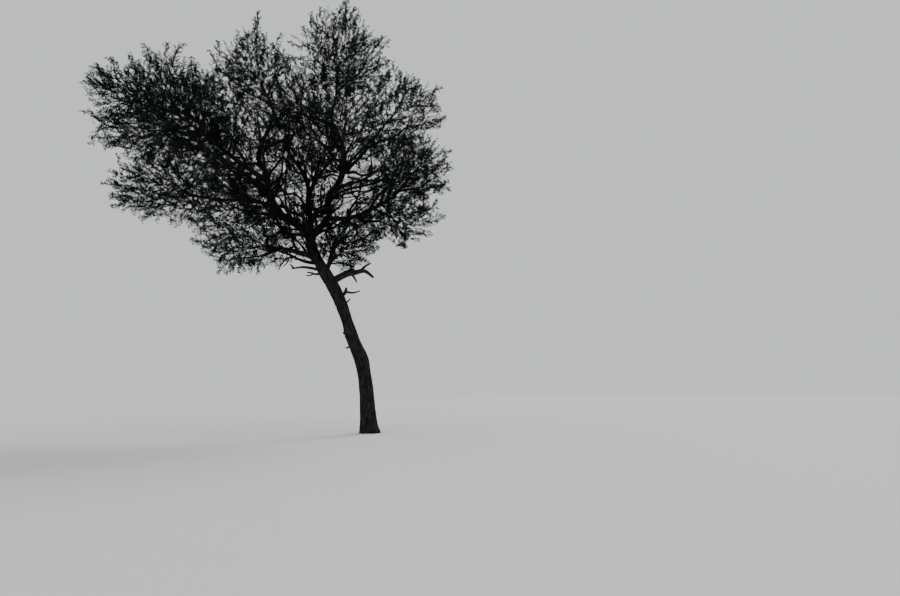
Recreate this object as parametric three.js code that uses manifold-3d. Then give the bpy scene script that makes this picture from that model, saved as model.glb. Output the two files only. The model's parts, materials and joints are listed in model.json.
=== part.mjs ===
// An acacia tree of the open savanna, whole, from the flat cut at ground level to its top.
// Millimetres, +Z up. The origin is the centre of the flat cut under the trunk. The tree leans towards -X.
// Trunk, limbs and dead wood are tapering tubes bent along curves. Each foliage mass is one solid:
// twigs that branch by a seeded rule from one stem, with leaf sprays fused on.
import * as THREE from "three";
import { mergeVertices } from "three/addons/utils/BufferGeometryUtils.js";
import Module from "manifold-3d";

const wasm = await Module();
wasm.setup();
const { Manifold, Mesh } = wasm;
const V = (x, y, z) => new THREE.Vector3(x, y, z);

// Trunk: the place of its axis and its radius, from the ground to the fork.
const TRUNK_STATIONS = [
  { at: V(0, 0, 0), radius: 250 },
  { at: V(-25, 0, 170), radius: 238 },
  { at: V(-62, 10, 630), radius: 222 },
  { at: V(-105, 20, 1150), radius: 205 },
  { at: V(-180, 30, 1720), radius: 192 },
  { at: V(-290, 30, 2220), radius: 208 },
  { at: V(-495, 15, 2680), radius: 184 },
  { at: V(-612, 5, 2980), radius: 186 },
  { at: V(-738, 0, 3380), radius: 158 },
  { at: V(-960, -10, 3980), radius: 176 },
  { at: V(-1225, -20, 4520), radius: 182 },
  { at: V(-1430, -25, 4850), radius: 178 },
  { at: V(-1665, -20, 5250), radius: 144 },
  { at: V(-1850, -10, 5640), radius: 136 },
  { at: V(-1935, 0, 5950), radius: 142 },
  { at: V(-1965, 0, 6230), radius: 128 },
];
const TRUNK_SIDES = 12;
const TRUNK_STEPS = 22;
const ROOT_FLARE = { lobes: 5, depth: 0.17, height: 260, turn: 0.35 };
const FOOT_HEIGHT = 100; // the ring of the trunk's tube below this height lies in the ground plane

// Gaps: a limb is cut GAP clear of those made before it, and foliage keeps FOLIAGE_CLEAR from every limb.
const GAP = 0.35;
const FOLIAGE_CLEAR = 34;
const SPACE_MARGIN = 0.03; // share of a mass's reach kept free on its own side of a shared border

// Limbs whose course shows: the parent, the share of its length where they leave it, the points they pass,
// the radii at base and tip, and the mass they run into.
const MAIN_LIMBS = [
  { name: "limb_left", parent: "trunk", share: 0.975, radii: [132, 34], into: "left_spire",
    through: [V(-2370, -60, 6420), V(-2880, -130, 6750), V(-3215, -150, 7380), V(-3360, -120, 8020),
      V(-3640, -40, 8600), V(-3450, 60, 9400), V(-3260, 130, 10150)] },
  { name: "limb_right", parent: "trunk", share: 0.975, radii: [112, 34], into: "top",
    through: [V(-1570, 40, 6420), V(-1375, 60, 6780), V(-1440, 80, 7220), V(-1200, 60, 7660),
      V(-985, 40, 8010), V(-950, 60, 8820), V(-1370, 20, 9900), V(-1265, 40, 10500)] },
  { name: "limb_middle", parent: "trunk", share: 0.985, radii: [84, 38], into: "heart_middle",
    through: [V(-1990, 130, 6760), V(-2040, 260, 7230), V(-2100, 200, 7700)] },
  { name: "limb_far_left", parent: "limb_left", share: 0.4, radii: [78, 38], into: "far_left",
    through: [V(-4250, -180, 8420), V(-5500, -40, 9420), V(-6350, 120, 10060)] },
  { name: "limb_right_low", parent: "limb_right", share: 0.14, radii: [66, 34], into: "right_edge",
    through: [V(-1010, -60, 6600), V(-600, -120, 6630), V(220, -60, 7040), V(620, 120, 7340)] },
  { name: "limb_under_left", parent: "trunk", share: 0.865, radii: [62, 34], into: "under_left",
    through: [V(-2640, -60, 5610)] },
  { name: "limb_under_right", parent: "trunk", share: 0.775, radii: [58, 26], into: "under_right",
    through: [V(-1275, 40, 5220)] },
];

// Foliage masses: centre and reach, the parent and share where the mass's own bough leaves it, and the tips
// of the long shoots that stand out of it. The masses with no parent are those that a main limb runs into.
const MASSES = [
  { name: "far_left", at: V(-8200, 150, 10800), reach: V(1250, 1300, 950),
    shoots: [V(-9490, 200, 11240), V(-9060, -200, 11560)] },
  { name: "left_crest", at: V(-7000, 600, 11300), reach: V(1250, 1300, 1100),
    parent: "limb_far_left", share: 0.88, shoots: [V(-7690, 500, 12440), V(-6490, 700, 12800)] },
  { name: "left_edge", at: V(-7250, -500, 9300), reach: V(1400, 1350, 850),
    parent: "limb_far_left", share: 0.55, shoots: [V(-8600, -450, 9400), V(-8340, -450, 8810)] },
  { name: "left_low_outer", at: V(-6750, 250, 7650), reach: V(1350, 1350, 900),
    parent: "limb_left", share: 0.24, shoots: [V(-8130, 300, 8350), V(-7560, 250, 7210)] },
  { name: "left_low_inner", at: V(-4950, -400, 6950), reach: V(1200, 1300, 850),
    parent: "limb_left", share: 0.17, shoots: [V(-5250, -300, 6140)] },
  { name: "under_left", at: V(-4000, -150, 5800), reach: V(1250, 1250, 800),
    shoots: [V(-4080, -150, 4890), V(-5130, -150, 5700)] },
  { name: "left_spire", at: V(-4000, 250, 11850), reach: V(1150, 1300, 1450),
    shoots: [V(-3890, 250, 13690), V(-4480, 250, 12750)] },
  { name: "left_shoulder", at: V(-5300, -700, 10150), reach: V(1250, 1350, 1200),
    parent: "limb_far_left", share: 0.4, shoots: [V(-4800, -500, 11500)] },
  { name: "top", at: V(-1150, 150, 12200), reach: V(1350, 1400, 1500),
    shoots: [V(-1030, 150, 14000), V(-2140, 150, 13330), V(-160, 150, 12800)] },
  { name: "crest_middle", at: V(-2650, 900, 10900), reach: V(1150, 1350, 1200),
    parent: "limb_right", share: 0.68 },
  { name: "right_upper", at: V(850, 0, 10250), reach: V(1250, 1350, 1150),
    parent: "limb_right", share: 0.45, shoots: [V(980, -150, 11140), V(2080, 0, 10300)] },
  { name: "right_edge", at: V(1450, 450, 8450), reach: V(950, 1300, 1050),
    shoots: [V(2400, 450, 7650)] },
  { name: "right_low", at: V(850, -450, 6600), reach: V(1100, 1250, 850),
    parent: "limb_right_low", share: 0.6, shoots: [V(1780, -300, 6810), V(1050, -450, 5600)] },
  { name: "under_right", at: V(-750, 100, 5850), reach: V(900, 950, 720) },
  { name: "fork_tuft", at: V(-2100, -1150, 7050), reach: V(950, 950, 750),
    parent: "trunk", share: 0.95 },
  { name: "low_middle", at: V(-3450, 1100, 7000), reach: V(1050, 1200, 800),
    parent: "limb_left", share: 0.1 },
  { name: "heart_left", at: V(-4750, 700, 8700), reach: V(1250, 1300, 1050),
    parent: "limb_left", share: 0.34 },
  { name: "heart_middle", at: V(-2350, -100, 9200), reach: V(1200, 1300, 1200) },
  { name: "front_left", at: V(-5500, -2900, 8900), reach: V(1500, 1400, 1150),
    parent: "limb_left", share: 0.31 },
  { name: "front_middle", at: V(-3000, -3000, 9400), reach: V(1500, 1400, 1250),
    parent: "limb_left", share: 0.42 },
  { name: "front_right", at: V(-450, -2600, 9350), reach: V(1450, 1450, 1350),
    parent: "limb_right", share: 0.36 },
  { name: "front_low_left", at: V(-4100, -2400, 7250), reach: V(1350, 1250, 850),
    parent: "limb_left", share: 0.2 },
  { name: "front_low_right", at: V(850, -2150, 7750), reach: V(1150, 1250, 950),
    parent: "limb_right", share: 0.28 },
  { name: "back_left", at: V(-6300, 2900, 9900), reach: V(1550, 1400, 1250),
    parent: "limb_left", share: 0.28 },
  { name: "back_middle", at: V(-3800, 3200, 10600), reach: V(1500, 1450, 1350),
    parent: "limb_middle", share: 0.68 },
  { name: "back_right", at: V(-1200, 3000, 10700), reach: V(1450, 1400, 1300),
    parent: "limb_middle", share: 0.55 },
  { name: "back_low_left", at: V(-4450, 2700, 7900), reach: V(1450, 1350, 950),
    parent: "limb_left", share: 0.14 },
  { name: "back_low_right", at: V(750, 2450, 9000), reach: V(1200, 1250, 1050),
    parent: "limb_right", share: 0.24 },
];
const BOUGH_RADII = [50, 34];
const BOUGH_ENTRY = 0.72; // share of a mass's reach, from its centre, where its bough ends
const BOUGH_LEAVING = 0.65; // 0 leaves along the parent, 1 straight towards the mass
const BOUGH_RISE = 0.25; // how far a bough turns upwards as it arrives

// Dead wood that still stands on the trunk. Its side twigs are fused to the limb they leave.
const DEAD_WOOD = [
  { name: "dead_limb", share: 0.728, radii: [80, 26],
    through: [V(-790, 10, 4850), V(-530, 20, 4900), V(-230, 40, 4950), V(40, 60, 4755)],
    twigs: [
      { radii: [26, 11], through: [V(-380, 30, 4925), V(-230, 20, 5085), V(-35, 0, 5195)] },
      { radii: [24, 9], through: [V(-640, 20, 4880), V(-560, 0, 4760), V(-455, -20, 4580)] },
      { radii: [30, 14], through: [V(-780, 10, 4850), V(-690, 60, 4990), V(-640, 90, 5090)] },
    ] },
  { name: "dead_stub", share: 0.668, radii: [62, 30],
    through: [V(-850, 0, 4230), V(-780, 0, 4420)],
    twigs: [{ radii: [22, 9], through: [V(-820, 0, 4300), V(-580, 10, 4265), V(-360, 0, 4325)] }] },
  { name: "dead_twig_left", share: 0.79, radii: [30, 14],
    through: [V(-2100, -40, 5060), V(-2480, -60, 5010)],
    twigs: [{ radii: [16, 9], through: [V(-2400, -55, 5020), V(-2530, -60, 5150)] }] },
];
const LIMB_SIDES = 6;
const LIMB_STEP = 560; // length of one step of a limb's tube
const DEAD_SIDES = 5;
const DEAD_STEP = 260;

// How a mass's twigs are spread and joined, and the leaf sprays they carry.
const SCATTER = { perCubicMetre: 1.58, inner: 0.2, outer: 0.68, candidates: 6 };
const JOIN = { pathWeight: 0.35, turnWeight: 0.5, choices: 4 };
const TWIG = { sides: 3, tipRadius: 11, pipePower: 2.25, forkShare: 0.45 };
const SPRAY = { length: 950, width: 620, thickness: 20, widest: 0.5, petiole: 0.12, stray: 1.4, tries: 9 };
const SPRAY_SIZES = [1, 0.85, 0.7, 0.55];
const SHOOT = { length: 760, width: 260 };
const PROBE_STEP = 70; // distance between the points at which a twig or spray is tested
const STEM_LENGTH = 170; // a mass's stem goes straight on from its bough for this far before it branches
const STEM_FREE = 110; // the stem may be this near to the tip of its own bough
const SPRAY_CLEAR = 40; // sprays keep this far from each other and from twigs,
const FOOT_FREE = 130; // but for this far round their own foot

const UP = V(0, 0, 1);
const MATERIALS = {
  bark: new THREE.MeshStandardMaterial({ color: 0x3a322b, roughness: 0.95, metalness: 0 }),
  dead: new THREE.MeshStandardMaterial({ color: 0x564d44, roughness: 0.95, metalness: 0 }),
  foliage: new THREE.MeshStandardMaterial({ color: 0x2f3a24, roughness: 0.8, metalness: 0 }),
};

// A repeatable stream of numbers from 0 to 1.
function seeded(seed) {
  let state = seed >>> 0;
  return () => {
    state = (state + 0x6d2b79f5) >>> 0;
    let t = state;
    t = Math.imul(t ^ (t >>> 15), t | 1);
    t ^= t + Math.imul(t ^ (t >>> 7), t | 61);
    return ((t ^ (t >>> 14)) >>> 0) / 4294967296;
  };
}

function merged(geometry) {
  geometry.deleteAttribute("normal");
  geometry.deleteAttribute("uv");
  return mergeVertices(geometry, 1e-5);
}

function solidOf(geometry) {
  const vertProperties = geometry.attributes.position.array;
  const triVerts = new Uint32Array(geometry.index.array);
  return new Manifold(new Mesh({ numProp: 3, vertProperties, triVerts }));
}

function geometryOf(solid) {
  const { vertProperties, triVerts } = solid.getMesh();
  const geometry = new THREE.BufferGeometry();
  geometry.setAttribute("position", new THREE.BufferAttribute(new Float32Array(vertProperties), 3));
  geometry.setIndex(new THREE.BufferAttribute(new Uint32Array(triVerts), 1));
  geometry.computeVertexNormals();
  return geometry;
}

// The largest body: a cut can leave a scrap on the far side of the limb that was cut away.
function largest(solid) {
  return solid.decompose().sort((a, b) => b.volume() - a.volume())[0];
}

const smooth = (points) => new THREE.CatmullRomCurve3(points, false, "centripetal");
const taper = ([base, tip]) => (share) => base + (tip - base) * share;

// A closed cylinder bent along a curve. radiusAt gives its radius from the share of its length and the
// angle. swell makes it that much larger all round, ends included.
function bentCylinder(curve, radiusAt, sides, steps, swell) {
  const tube = merged(new THREE.CylinderGeometry(1, 1, 1, sides, steps));
  const { tangents, normals, binormals } = curve.computeFrenetFrames(steps);
  const position = tube.attributes.position;
  for (let i = 0; i < position.count; i++) {
    const x = position.getX(i);
    const z = position.getZ(i);
    const step = Math.round((position.getY(i) + 0.5) * steps);
    const radius = radiusAt(step / steps, Math.atan2(z, x)) + swell;
    const point = curve.getPointAt(step / steps);
    point.addScaledVector(binormals[step], x * radius);
    point.addScaledVector(normals[step], z * radius);
    if (step === 0) point.addScaledVector(tangents[0], -swell);
    if (step === steps) point.addScaledVector(tangents[steps], swell);
    position.setXYZ(i, point.x, point.y, point.z);
  }
  return tube;
}

// The trunk's radius: its stations blended smoothly, with the lobes of the root flare near the ground.
function trunkRadius(curve) {
  const last = TRUNK_STATIONS.length - 1;
  return (share, angle) => {
    const { z } = curve.getPointAt(share);
    const above = TRUNK_STATIONS.findIndex((station) => station.at.z > z);
    const next = above < 1 ? last : above;
    const [low, high] = [TRUNK_STATIONS[next - 1], TRUNK_STATIONS[next]];
    const blend = THREE.MathUtils.smoothstep(z, low.at.z, high.at.z);
    const radius = THREE.MathUtils.lerp(low.radius, high.radius, blend);
    const lobe = 1 + Math.cos(ROOT_FLARE.lobes * (angle + ROOT_FLARE.turn));
    return radius * (1 + ROOT_FLARE.depth * Math.exp(-z / ROOT_FLARE.height) * lobe);
  };
}

function trunkShape({ curve }, swell) {
  const geometry = bentCylinder(curve, trunkRadius(curve), TRUNK_SIDES, TRUNK_STEPS, swell);
  const position = geometry.attributes.position;
  for (let i = 0; i < position.count; i++) {
    if (position.getZ(i) < FOOT_HEIGHT) position.setZ(i, 0);
  }
  return solidOf(geometry);
}

function limbShape({ curve, radii, sides = LIMB_SIDES, stepLength = LIMB_STEP }, swell) {
  const steps = Math.max(2, Math.round(curve.getLength() / stepLength));
  return solidOf(bentCylinder(curve, taper(radii), sides, steps, swell));
}

// Every limb made so far by name, each with a slightly swollen copy that cuts later ones clear of it.
const limbs = new Map();
const nodes = [];

function addLimb(limb, shape, material) {
  const sideTwigs = (limb.twigs ?? []).map(({ through, radii }) =>
    limbShape({ curve: smooth(through), radii, sides: DEAD_SIDES, stepLength: DEAD_STEP }, 0));
  let solid = Manifold.union([shape(limb, 0), ...sideTwigs]);
  for (const other of limbs.values()) {
    solid = solid.subtract(other.swollen);
  }
  solid = largest(solid);
  const { min, max } = solid.boundingBox();
  const box = new THREE.Box3(V(...min), V(...max));
  const samples = limb.curve.getSpacedPoints(Math.ceil(limb.curve.getLength() / PROBE_STEP));
  limbs.set(limb.name, { ...limb, swollen: shape(limb, GAP), box, samples });
  nodes.push({ name: limb.name, solid, material });
}

// Where a limb starts: on its parent's axis, or just clear of the parent's tip.
function startOn(parent, share) {
  const { curve } = limbs.get(parent);
  const tangent = curve.getTangentAt(share);
  const start = curve.getPointAt(share);
  if (share === 1) start.addScaledVector(tangent, GAP);
  return { start, tangent };
}

// Where a limb that comes from a point ends in a mass.
function entryOf(mass, from) {
  const direction = from.clone().sub(mass.at).divide(mass.reach).normalize();
  return direction.multiplyScalar(BOUGH_ENTRY).multiply(mass.reach).add(mass.at);
}

function buildTrunk() {
  const radii = [TRUNK_STATIONS[0].radius, TRUNK_STATIONS.at(-1).radius];
  addLimb({ name: "trunk", curve: smooth(TRUNK_STATIONS.map((s) => s.at)), radii }, trunkShape, "bark");
}

function buildMainLimbs() {
  for (const { name, parent, share, radii, through, into } of MAIN_LIMBS) {
    const { start, tangent } = startOn(parent, share);
    const lead = share === 1 ? [start.clone().addScaledVector(tangent, radii[0])] : [];
    const mass = MASSES.find((m) => m.name === into);
    const end = mass ? [entryOf(mass, through.at(-1))] : [];
    if (mass) mass.bough = name;
    addLimb({ name, curve: smooth([start, ...lead, ...through, ...end]), radii }, limbShape, "bark");
  }
}

function buildDeadWood() {
  for (const { name, share, radii, through, twigs } of DEAD_WOOD) {
    const { start } = startOn("trunk", share);
    const curve = smooth([start, ...through]);
    addLimb({ name, curve, radii, twigs, sides: DEAD_SIDES, stepLength: DEAD_STEP }, limbShape, "dead");
  }
}

// A bough leaves its parent partly along it and arches upwards to the near side of its mass.
function buildBoughs() {
  for (const mass of MASSES.filter((m) => m.parent)) {
    const { start, tangent } = startOn(mass.parent, mass.share);
    const end = entryOf(mass, start);
    const towards = end.clone().sub(start).normalize();
    const leave = tangent.clone().lerp(towards, BOUGH_LEAVING).normalize();
    const arrive = towards.clone().addScaledVector(UP, BOUGH_RISE).normalize();
    const handle = end.distanceTo(start) * 0.35;
    const curve = new THREE.CubicBezierCurve3(
      start,
      start.clone().addScaledVector(leave, handle),
      end.clone().addScaledVector(arrive, -handle),
      end,
    );
    mass.bough = "bough_" + mass.name;
    addLimb({ name: mass.bough, curve, radii: BOUGH_RADII }, limbShape, "bark");
  }
}

// How far a point is from a mass's centre, as a share of its reach.
function shareOfReach(mass, point) {
  return point.clone().sub(mass.at).divide(mass.reach).length();
}

// A mass's own space is what lies within its reach and nearer to it than to any other mass.
function inOwnSpace(mass, point) {
  const own = shareOfReach(mass, point);
  const isNearest = (other) => other === mass || shareOfReach(other, point) > own + SPACE_MARGIN;
  return own <= 1 && MASSES.every(isNearest);
}

function clearOfLimbs(point) {
  for (const { box, radii, samples } of limbs.values()) {
    if (box.distanceToPoint(point) > FOLIAGE_CLEAR) continue;
    const last = samples.length - 1;
    for (let i = 0; i <= last; i++) {
      const near = THREE.MathUtils.lerp(radii[0], radii[1], i / last) + FOLIAGE_CLEAR;
      if (samples[i].distanceTo(point) < near) return false;
    }
  }
  return true;
}

// Points along a straight piece, no farther apart than a probe's step.
function probes(from, to) {
  const count = Math.ceil(from.distanceTo(to) / PROBE_STEP);
  return Array.from({ length: count + 1 }, (_, i) => from.clone().lerp(to, i / count));
}

// True where a straight piece keeps clear of the limbs and, unless it is a shoot, to its mass's space.
function pieceFits(mass, from, to, isShoot = false) {
  const beyondStem = probes(from, to).filter((point) => point.distanceTo(mass.twigs[0].at) > STEM_FREE);
  return beyondStem.every((point) => clearOfLimbs(point) && (isShoot || inOwnSpace(mass, point)));
}

// Points spread through a mass: of a few candidates each time, the one farthest from the points so far.
function scatter(mass, random) {
  const volume = (4 / 3) * Math.PI * mass.reach.x * mass.reach.y * mass.reach.z * 1e-9;
  const points = [];
  for (let n = Math.round(volume * SCATTER.perCubicMetre); n > 0; n--) {
    let best = null;
    let widest = -1;
    for (let k = 0; k < SCATTER.candidates; k++) {
      const height = 2 * random() - 1;
      const angle = 2 * Math.PI * random();
      const level = Math.sqrt(1 - height * height);
      const share = THREE.MathUtils.lerp(SCATTER.inner, SCATTER.outer, Math.sqrt(random()));
      const point = V(level * Math.cos(angle), level * Math.sin(angle), height);
      point.multiplyScalar(share).multiply(mass.reach).add(mass.at);
      const gap = Math.min(1e9, ...points.map((other) => other.distanceTo(point)));
      if (gap > widest && inOwnSpace(mass, point) && clearOfLimbs(point)) {
        best = point;
        widest = gap;
      }
    }
    if (best) points.push(best);
  }
  return points;
}

// Joins the points, nearest first, each to the twig that gives a short piece, a short way home and a soft
// turn. None joins the foot of the stem itself.
function joinTwigs(mass, points) {
  const { twigs } = mass;
  points.sort((a, b) => a.distanceTo(twigs[0].at) - b.distanceTo(twigs[0].at));
  for (const at of points) {
    const choices = twigs.map((from, i) => {
      const length = at.distanceTo(from.at);
      const heading = at.clone().sub(from.at).divideScalar(length);
      const turn = 1 - heading.dot(from.heading);
      const cost = length * (1 + JOIN.turnWeight * turn) + JOIN.pathWeight * from.way;
      return { at, from: i, heading, way: from.way + length, cost };
    });
    const nearest = choices.slice(1).sort((a, b) => a.cost - b.cost).slice(0, JOIN.choices);
    const found = nearest.find(({ from }) => pieceFits(mass, twigs[from].at, at));
    if (found) twigs.push(found);
  }
}

// A twig is as thick as all that it carries asks for, worked out from the tips down.
function thickenTwigs(twigs) {
  const carried = twigs.map(() => 0);
  for (let i = twigs.length - 1; i > 0; i--) {
    twigs[i].radius = Math.max(TWIG.tipRadius, carried[i] ** (1 / TWIG.pipePower));
    carried[twigs[i].from] += twigs[i].radius ** TWIG.pipePower;
  }
}

// Runs of twig from a fork to a tip. Each follows the thickest child, and the other children start runs.
function twigRuns(twigs) {
  const children = twigs.map(() => []);
  twigs.slice(1).forEach(({ from }, i) => children[from].push(i + 1));
  children.forEach((list) => list.sort((a, b) => twigs[b].radius - twigs[a].radius));
  const runs = [];
  const follow = (fork, first) => {
    const run = [fork];
    for (let at = first; at !== undefined; at = children[at][0]) {
      run.push(at);
      children[at].slice(1).forEach((side) => follow(at, side));
    }
    runs.push(run);
  };
  children[0].forEach((first) => follow(0, first));
  return runs;
}

// A closed tube with three sides and a pointed end, through sections that each have a place, two
// directions and two half widths.
function tubeThrough(sections) {
  const last = sections.length - 1;
  const tube = merged(new THREE.CylinderGeometry(0, 1, 1, TWIG.sides, last));
  const position = tube.attributes.position;
  for (let i = 0; i < position.count; i++) {
    const { at, across, side, width, depth } = sections[Math.round((position.getY(i) + 0.5) * last)];
    const ring = Math.hypot(position.getX(i), position.getZ(i)) || 1;
    const point = at.clone();
    point.addScaledVector(across, (width * position.getX(i)) / ring);
    point.addScaledVector(side, (depth * position.getZ(i)) / ring);
    position.setXYZ(i, point.x, point.y, point.z);
  }
  return solidOf(tube);
}

// A section square to its heading, turned as little as can be from a given side.
function sectionAt(at, heading, lastSide, width, depth) {
  const side = lastSide.clone().addScaledVector(heading, -lastSide.dot(heading)).normalize();
  return { at, across: heading.clone().cross(side), side, width, depth };
}

// A leaf spray's sections past its foot: the widest place, and the tip.
function spraySections(spray) {
  const { from, heading, side, length, width, reach } = spray;
  const widest = from.clone().addScaledVector(heading, reach - length * (1 - SPRAY.widest));
  const tip = from.clone().addScaledVector(heading, reach);
  return [
    sectionAt(widest, heading, side, width / Math.sqrt(3), SPRAY.thickness / 1.5),
    sectionAt(tip, heading, side, 0, 0),
  ];
}

// Points on a spray's edges and on its two middle lines.
function sprayProbes(spray) {
  const [middle, tip] = spraySections(spray);
  const left = middle.at.clone().addScaledVector(middle.across, spray.width / 2);
  const right = middle.at.clone().addScaledVector(middle.across, -spray.width / 2);
  const middles = [[spray.from, tip.at], [left, right]];
  const edges = [[spray.from, left], [spray.from, right], [left, tip.at], [right, tip.at]];
  return [...middles, ...edges].flatMap(([a, b]) => probes(a, b));
}

function sprayFits(mass, spray) {
  return sprayProbes(spray).every((point) => {
    const fromFoot = point.distanceTo(spray.from);
    const touches = (other) => other.distanceTo(point) < SPRAY_CLEAR;
    const isCrowded = fromFoot > FOOT_FREE && mass.taken.some(touches);
    return !isCrowded && inOwnSpace(mass, point) && clearOfLimbs(point);
  });
}

// The largest spray that fits at a twig's end, out of a few directions near that of the twig.
function findSpray(mass, twig, side, random) {
  const outward = twig.at.clone().sub(mass.at).divide(mass.reach).normalize();
  let best = null;
  for (let k = 0; k < SPRAY.tries; k++) {
    const stray = V(random() - 0.5, random() - 0.5, random() - 0.5).multiplyScalar(SPRAY.stray);
    const heading = twig.heading.clone().add(outward).multiplyScalar(0.5).add(stray).normalize();
    for (const size of SPRAY_SIZES) {
      if (best && size <= best.size) break;
      const length = SPRAY.length * size;
      const width = SPRAY.width * size;
      const spray = { from: twig.at, heading, side, length, width, reach: length, size };
      if (sprayFits(mass, spray)) best = spray;
    }
  }
  if (best) mass.taken.push(...sprayProbes(best));
  return best;
}

// A run of twig drawn out at its end into a spray.
function runSolid(mass, run, random) {
  const { twigs } = mass;
  let side = V(random() - 0.5, random() - 0.5, random() - 0.5).normalize();
  const sections = run.map((i, k) => {
    const ahead = twigs[run[Math.min(k + 1, run.length - 1)]];
    const behind = twigs[run[Math.max(k - 1, 0)]];
    const heading = i === 0 ? twigs[0].heading : ahead.at.clone().sub(behind.at).normalize();
    const isFork = k === 0 && i !== 0;
    const radius = twigs[i].radius * (isFork ? TWIG.forkShare : 1);
    const section = sectionAt(twigs[i].at, heading, side, radius, radius);
    side = section.side;
    return section;
  });
  const spray = findSpray(mass, twigs[run.at(-1)], side, random);
  if (spray) return tubeThrough([...sections, ...spraySections(spray)]);
  sections.at(-1).width = 0;
  sections.at(-1).depth = 0;
  return tubeThrough(sections);
}

// A spray on a stalk of its own that starts inside a twig.
function stalkedSpray(twig, spray) {
  const { heading, side, reach, length } = spray;
  const foot = twig.at.clone().addScaledVector(heading, reach - length * (1 - SPRAY.petiole));
  const inside = twig.radius * TWIG.forkShare;
  return tubeThrough([
    sectionAt(twig.at, heading, side, inside, inside),
    sectionAt(foot, heading, side, TWIG.tipRadius, TWIG.tipRadius),
    ...spraySections(spray),
  ]);
}

function sideSprays(mass, runs, random) {
  const ends = new Set(runs.map((run) => run.at(-1)));
  const solids = [];
  mass.twigs.forEach((twig, i) => {
    if (i === 0 || ends.has(i)) return;
    const side = V(random() - 0.5, random() - 0.5, random() - 0.5).normalize();
    const spray = findSpray(mass, twig, side, random);
    if (spray) solids.push(stalkedSpray(twig, spray));
  });
  return solids;
}

// A long shoot: a slim spray whose stalk runs from the nearest twig with a clear way to the shoot's tip.
function shootSolids(mass) {
  return (mass.shoots ?? []).map((tip) => {
    const byDistance = mass.twigs.slice(1).sort((a, b) => a.at.distanceTo(tip) - b.at.distanceTo(tip));
    const twig = byDistance.find(({ at }) => pieceFits(mass, at, tip, true));
    const reach = tip.distanceTo(twig.at);
    const heading = tip.clone().sub(twig.at).divideScalar(reach);
    return stalkedSpray(twig, { from: twig.at, heading, side: V(0.2, 1, 0), ...SHOOT, reach });
  });
}

function buildMass(mass, seed) {
  const random = seeded(seed);
  const { curve, radii } = limbs.get(mass.bough);
  const heading = curve.getTangentAt(1);
  const foot = curve.getPointAt(1).addScaledVector(heading, GAP);
  const stem = foot.clone().addScaledVector(heading, STEM_LENGTH);
  mass.twigs = [
    { at: foot, way: 0, heading, radius: radii[1] },
    { at: stem, from: 0, way: STEM_LENGTH, heading },
  ];
  joinTwigs(mass, scatter(mass, random));
  thickenTwigs(mass.twigs);
  mass.taken = mass.twigs.slice(1).flatMap(({ at, from }) => probes(mass.twigs[from].at, at));
  const runs = twigRuns(mass.twigs);
  const pieces = [
    ...runs.map((run) => runSolid(mass, run, random)),
    ...sideSprays(mass, runs, random),
    ...shootSolids(mass),
  ];
  const solid = largest(Manifold.union(pieces));
  nodes.push({ name: "foliage_" + mass.name, solid, material: "foliage" });
}

buildTrunk();
buildMainLimbs();
buildDeadWood();
buildBoughs();
MASSES.forEach((mass, i) => buildMass(mass, i + 1));

const tree = new THREE.Group();
for (const { name, solid, material } of nodes) {
  const mesh = new THREE.Mesh(geometryOf(solid), MATERIALS[material]);
  mesh.name = name;
  tree.add(mesh);
}
export default tree;
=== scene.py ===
"""The looks of the acacia tree: bark, dead wood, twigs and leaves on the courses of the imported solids.

Metres, +Z up, in the frame of the solids. Each foliage mass grows on from its bough's tip by the same seeded
rule as its solid, and is carried on to finer twigs and leaves within the same reach.
"""
import functools
import json
import math

import bmesh
import bpy
import numpy as np
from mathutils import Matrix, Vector, noise

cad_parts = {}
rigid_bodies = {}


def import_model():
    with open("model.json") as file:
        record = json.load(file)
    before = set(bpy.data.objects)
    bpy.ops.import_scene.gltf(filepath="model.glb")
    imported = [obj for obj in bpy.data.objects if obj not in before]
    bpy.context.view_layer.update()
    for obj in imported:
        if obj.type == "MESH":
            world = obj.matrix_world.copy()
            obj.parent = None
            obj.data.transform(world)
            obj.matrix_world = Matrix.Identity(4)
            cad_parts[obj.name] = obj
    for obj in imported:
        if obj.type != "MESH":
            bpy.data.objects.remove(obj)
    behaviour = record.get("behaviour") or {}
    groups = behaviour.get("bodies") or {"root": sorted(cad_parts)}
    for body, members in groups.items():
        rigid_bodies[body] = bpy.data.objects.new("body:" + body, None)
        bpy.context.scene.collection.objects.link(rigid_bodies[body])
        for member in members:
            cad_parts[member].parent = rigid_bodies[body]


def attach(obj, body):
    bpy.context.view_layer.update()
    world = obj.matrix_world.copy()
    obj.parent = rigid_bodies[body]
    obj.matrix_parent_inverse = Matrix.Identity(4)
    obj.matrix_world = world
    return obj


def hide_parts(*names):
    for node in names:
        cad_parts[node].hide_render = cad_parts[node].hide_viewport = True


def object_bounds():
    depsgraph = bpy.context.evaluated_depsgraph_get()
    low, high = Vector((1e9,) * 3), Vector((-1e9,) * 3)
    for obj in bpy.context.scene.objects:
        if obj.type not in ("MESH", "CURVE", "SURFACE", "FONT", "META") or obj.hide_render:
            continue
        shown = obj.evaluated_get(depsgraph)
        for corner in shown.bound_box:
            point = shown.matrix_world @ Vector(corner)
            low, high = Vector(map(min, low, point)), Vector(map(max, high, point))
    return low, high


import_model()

cad_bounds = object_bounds()
BOX_LOW, BOX_HIGH = np.array(cad_bounds)

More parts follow.
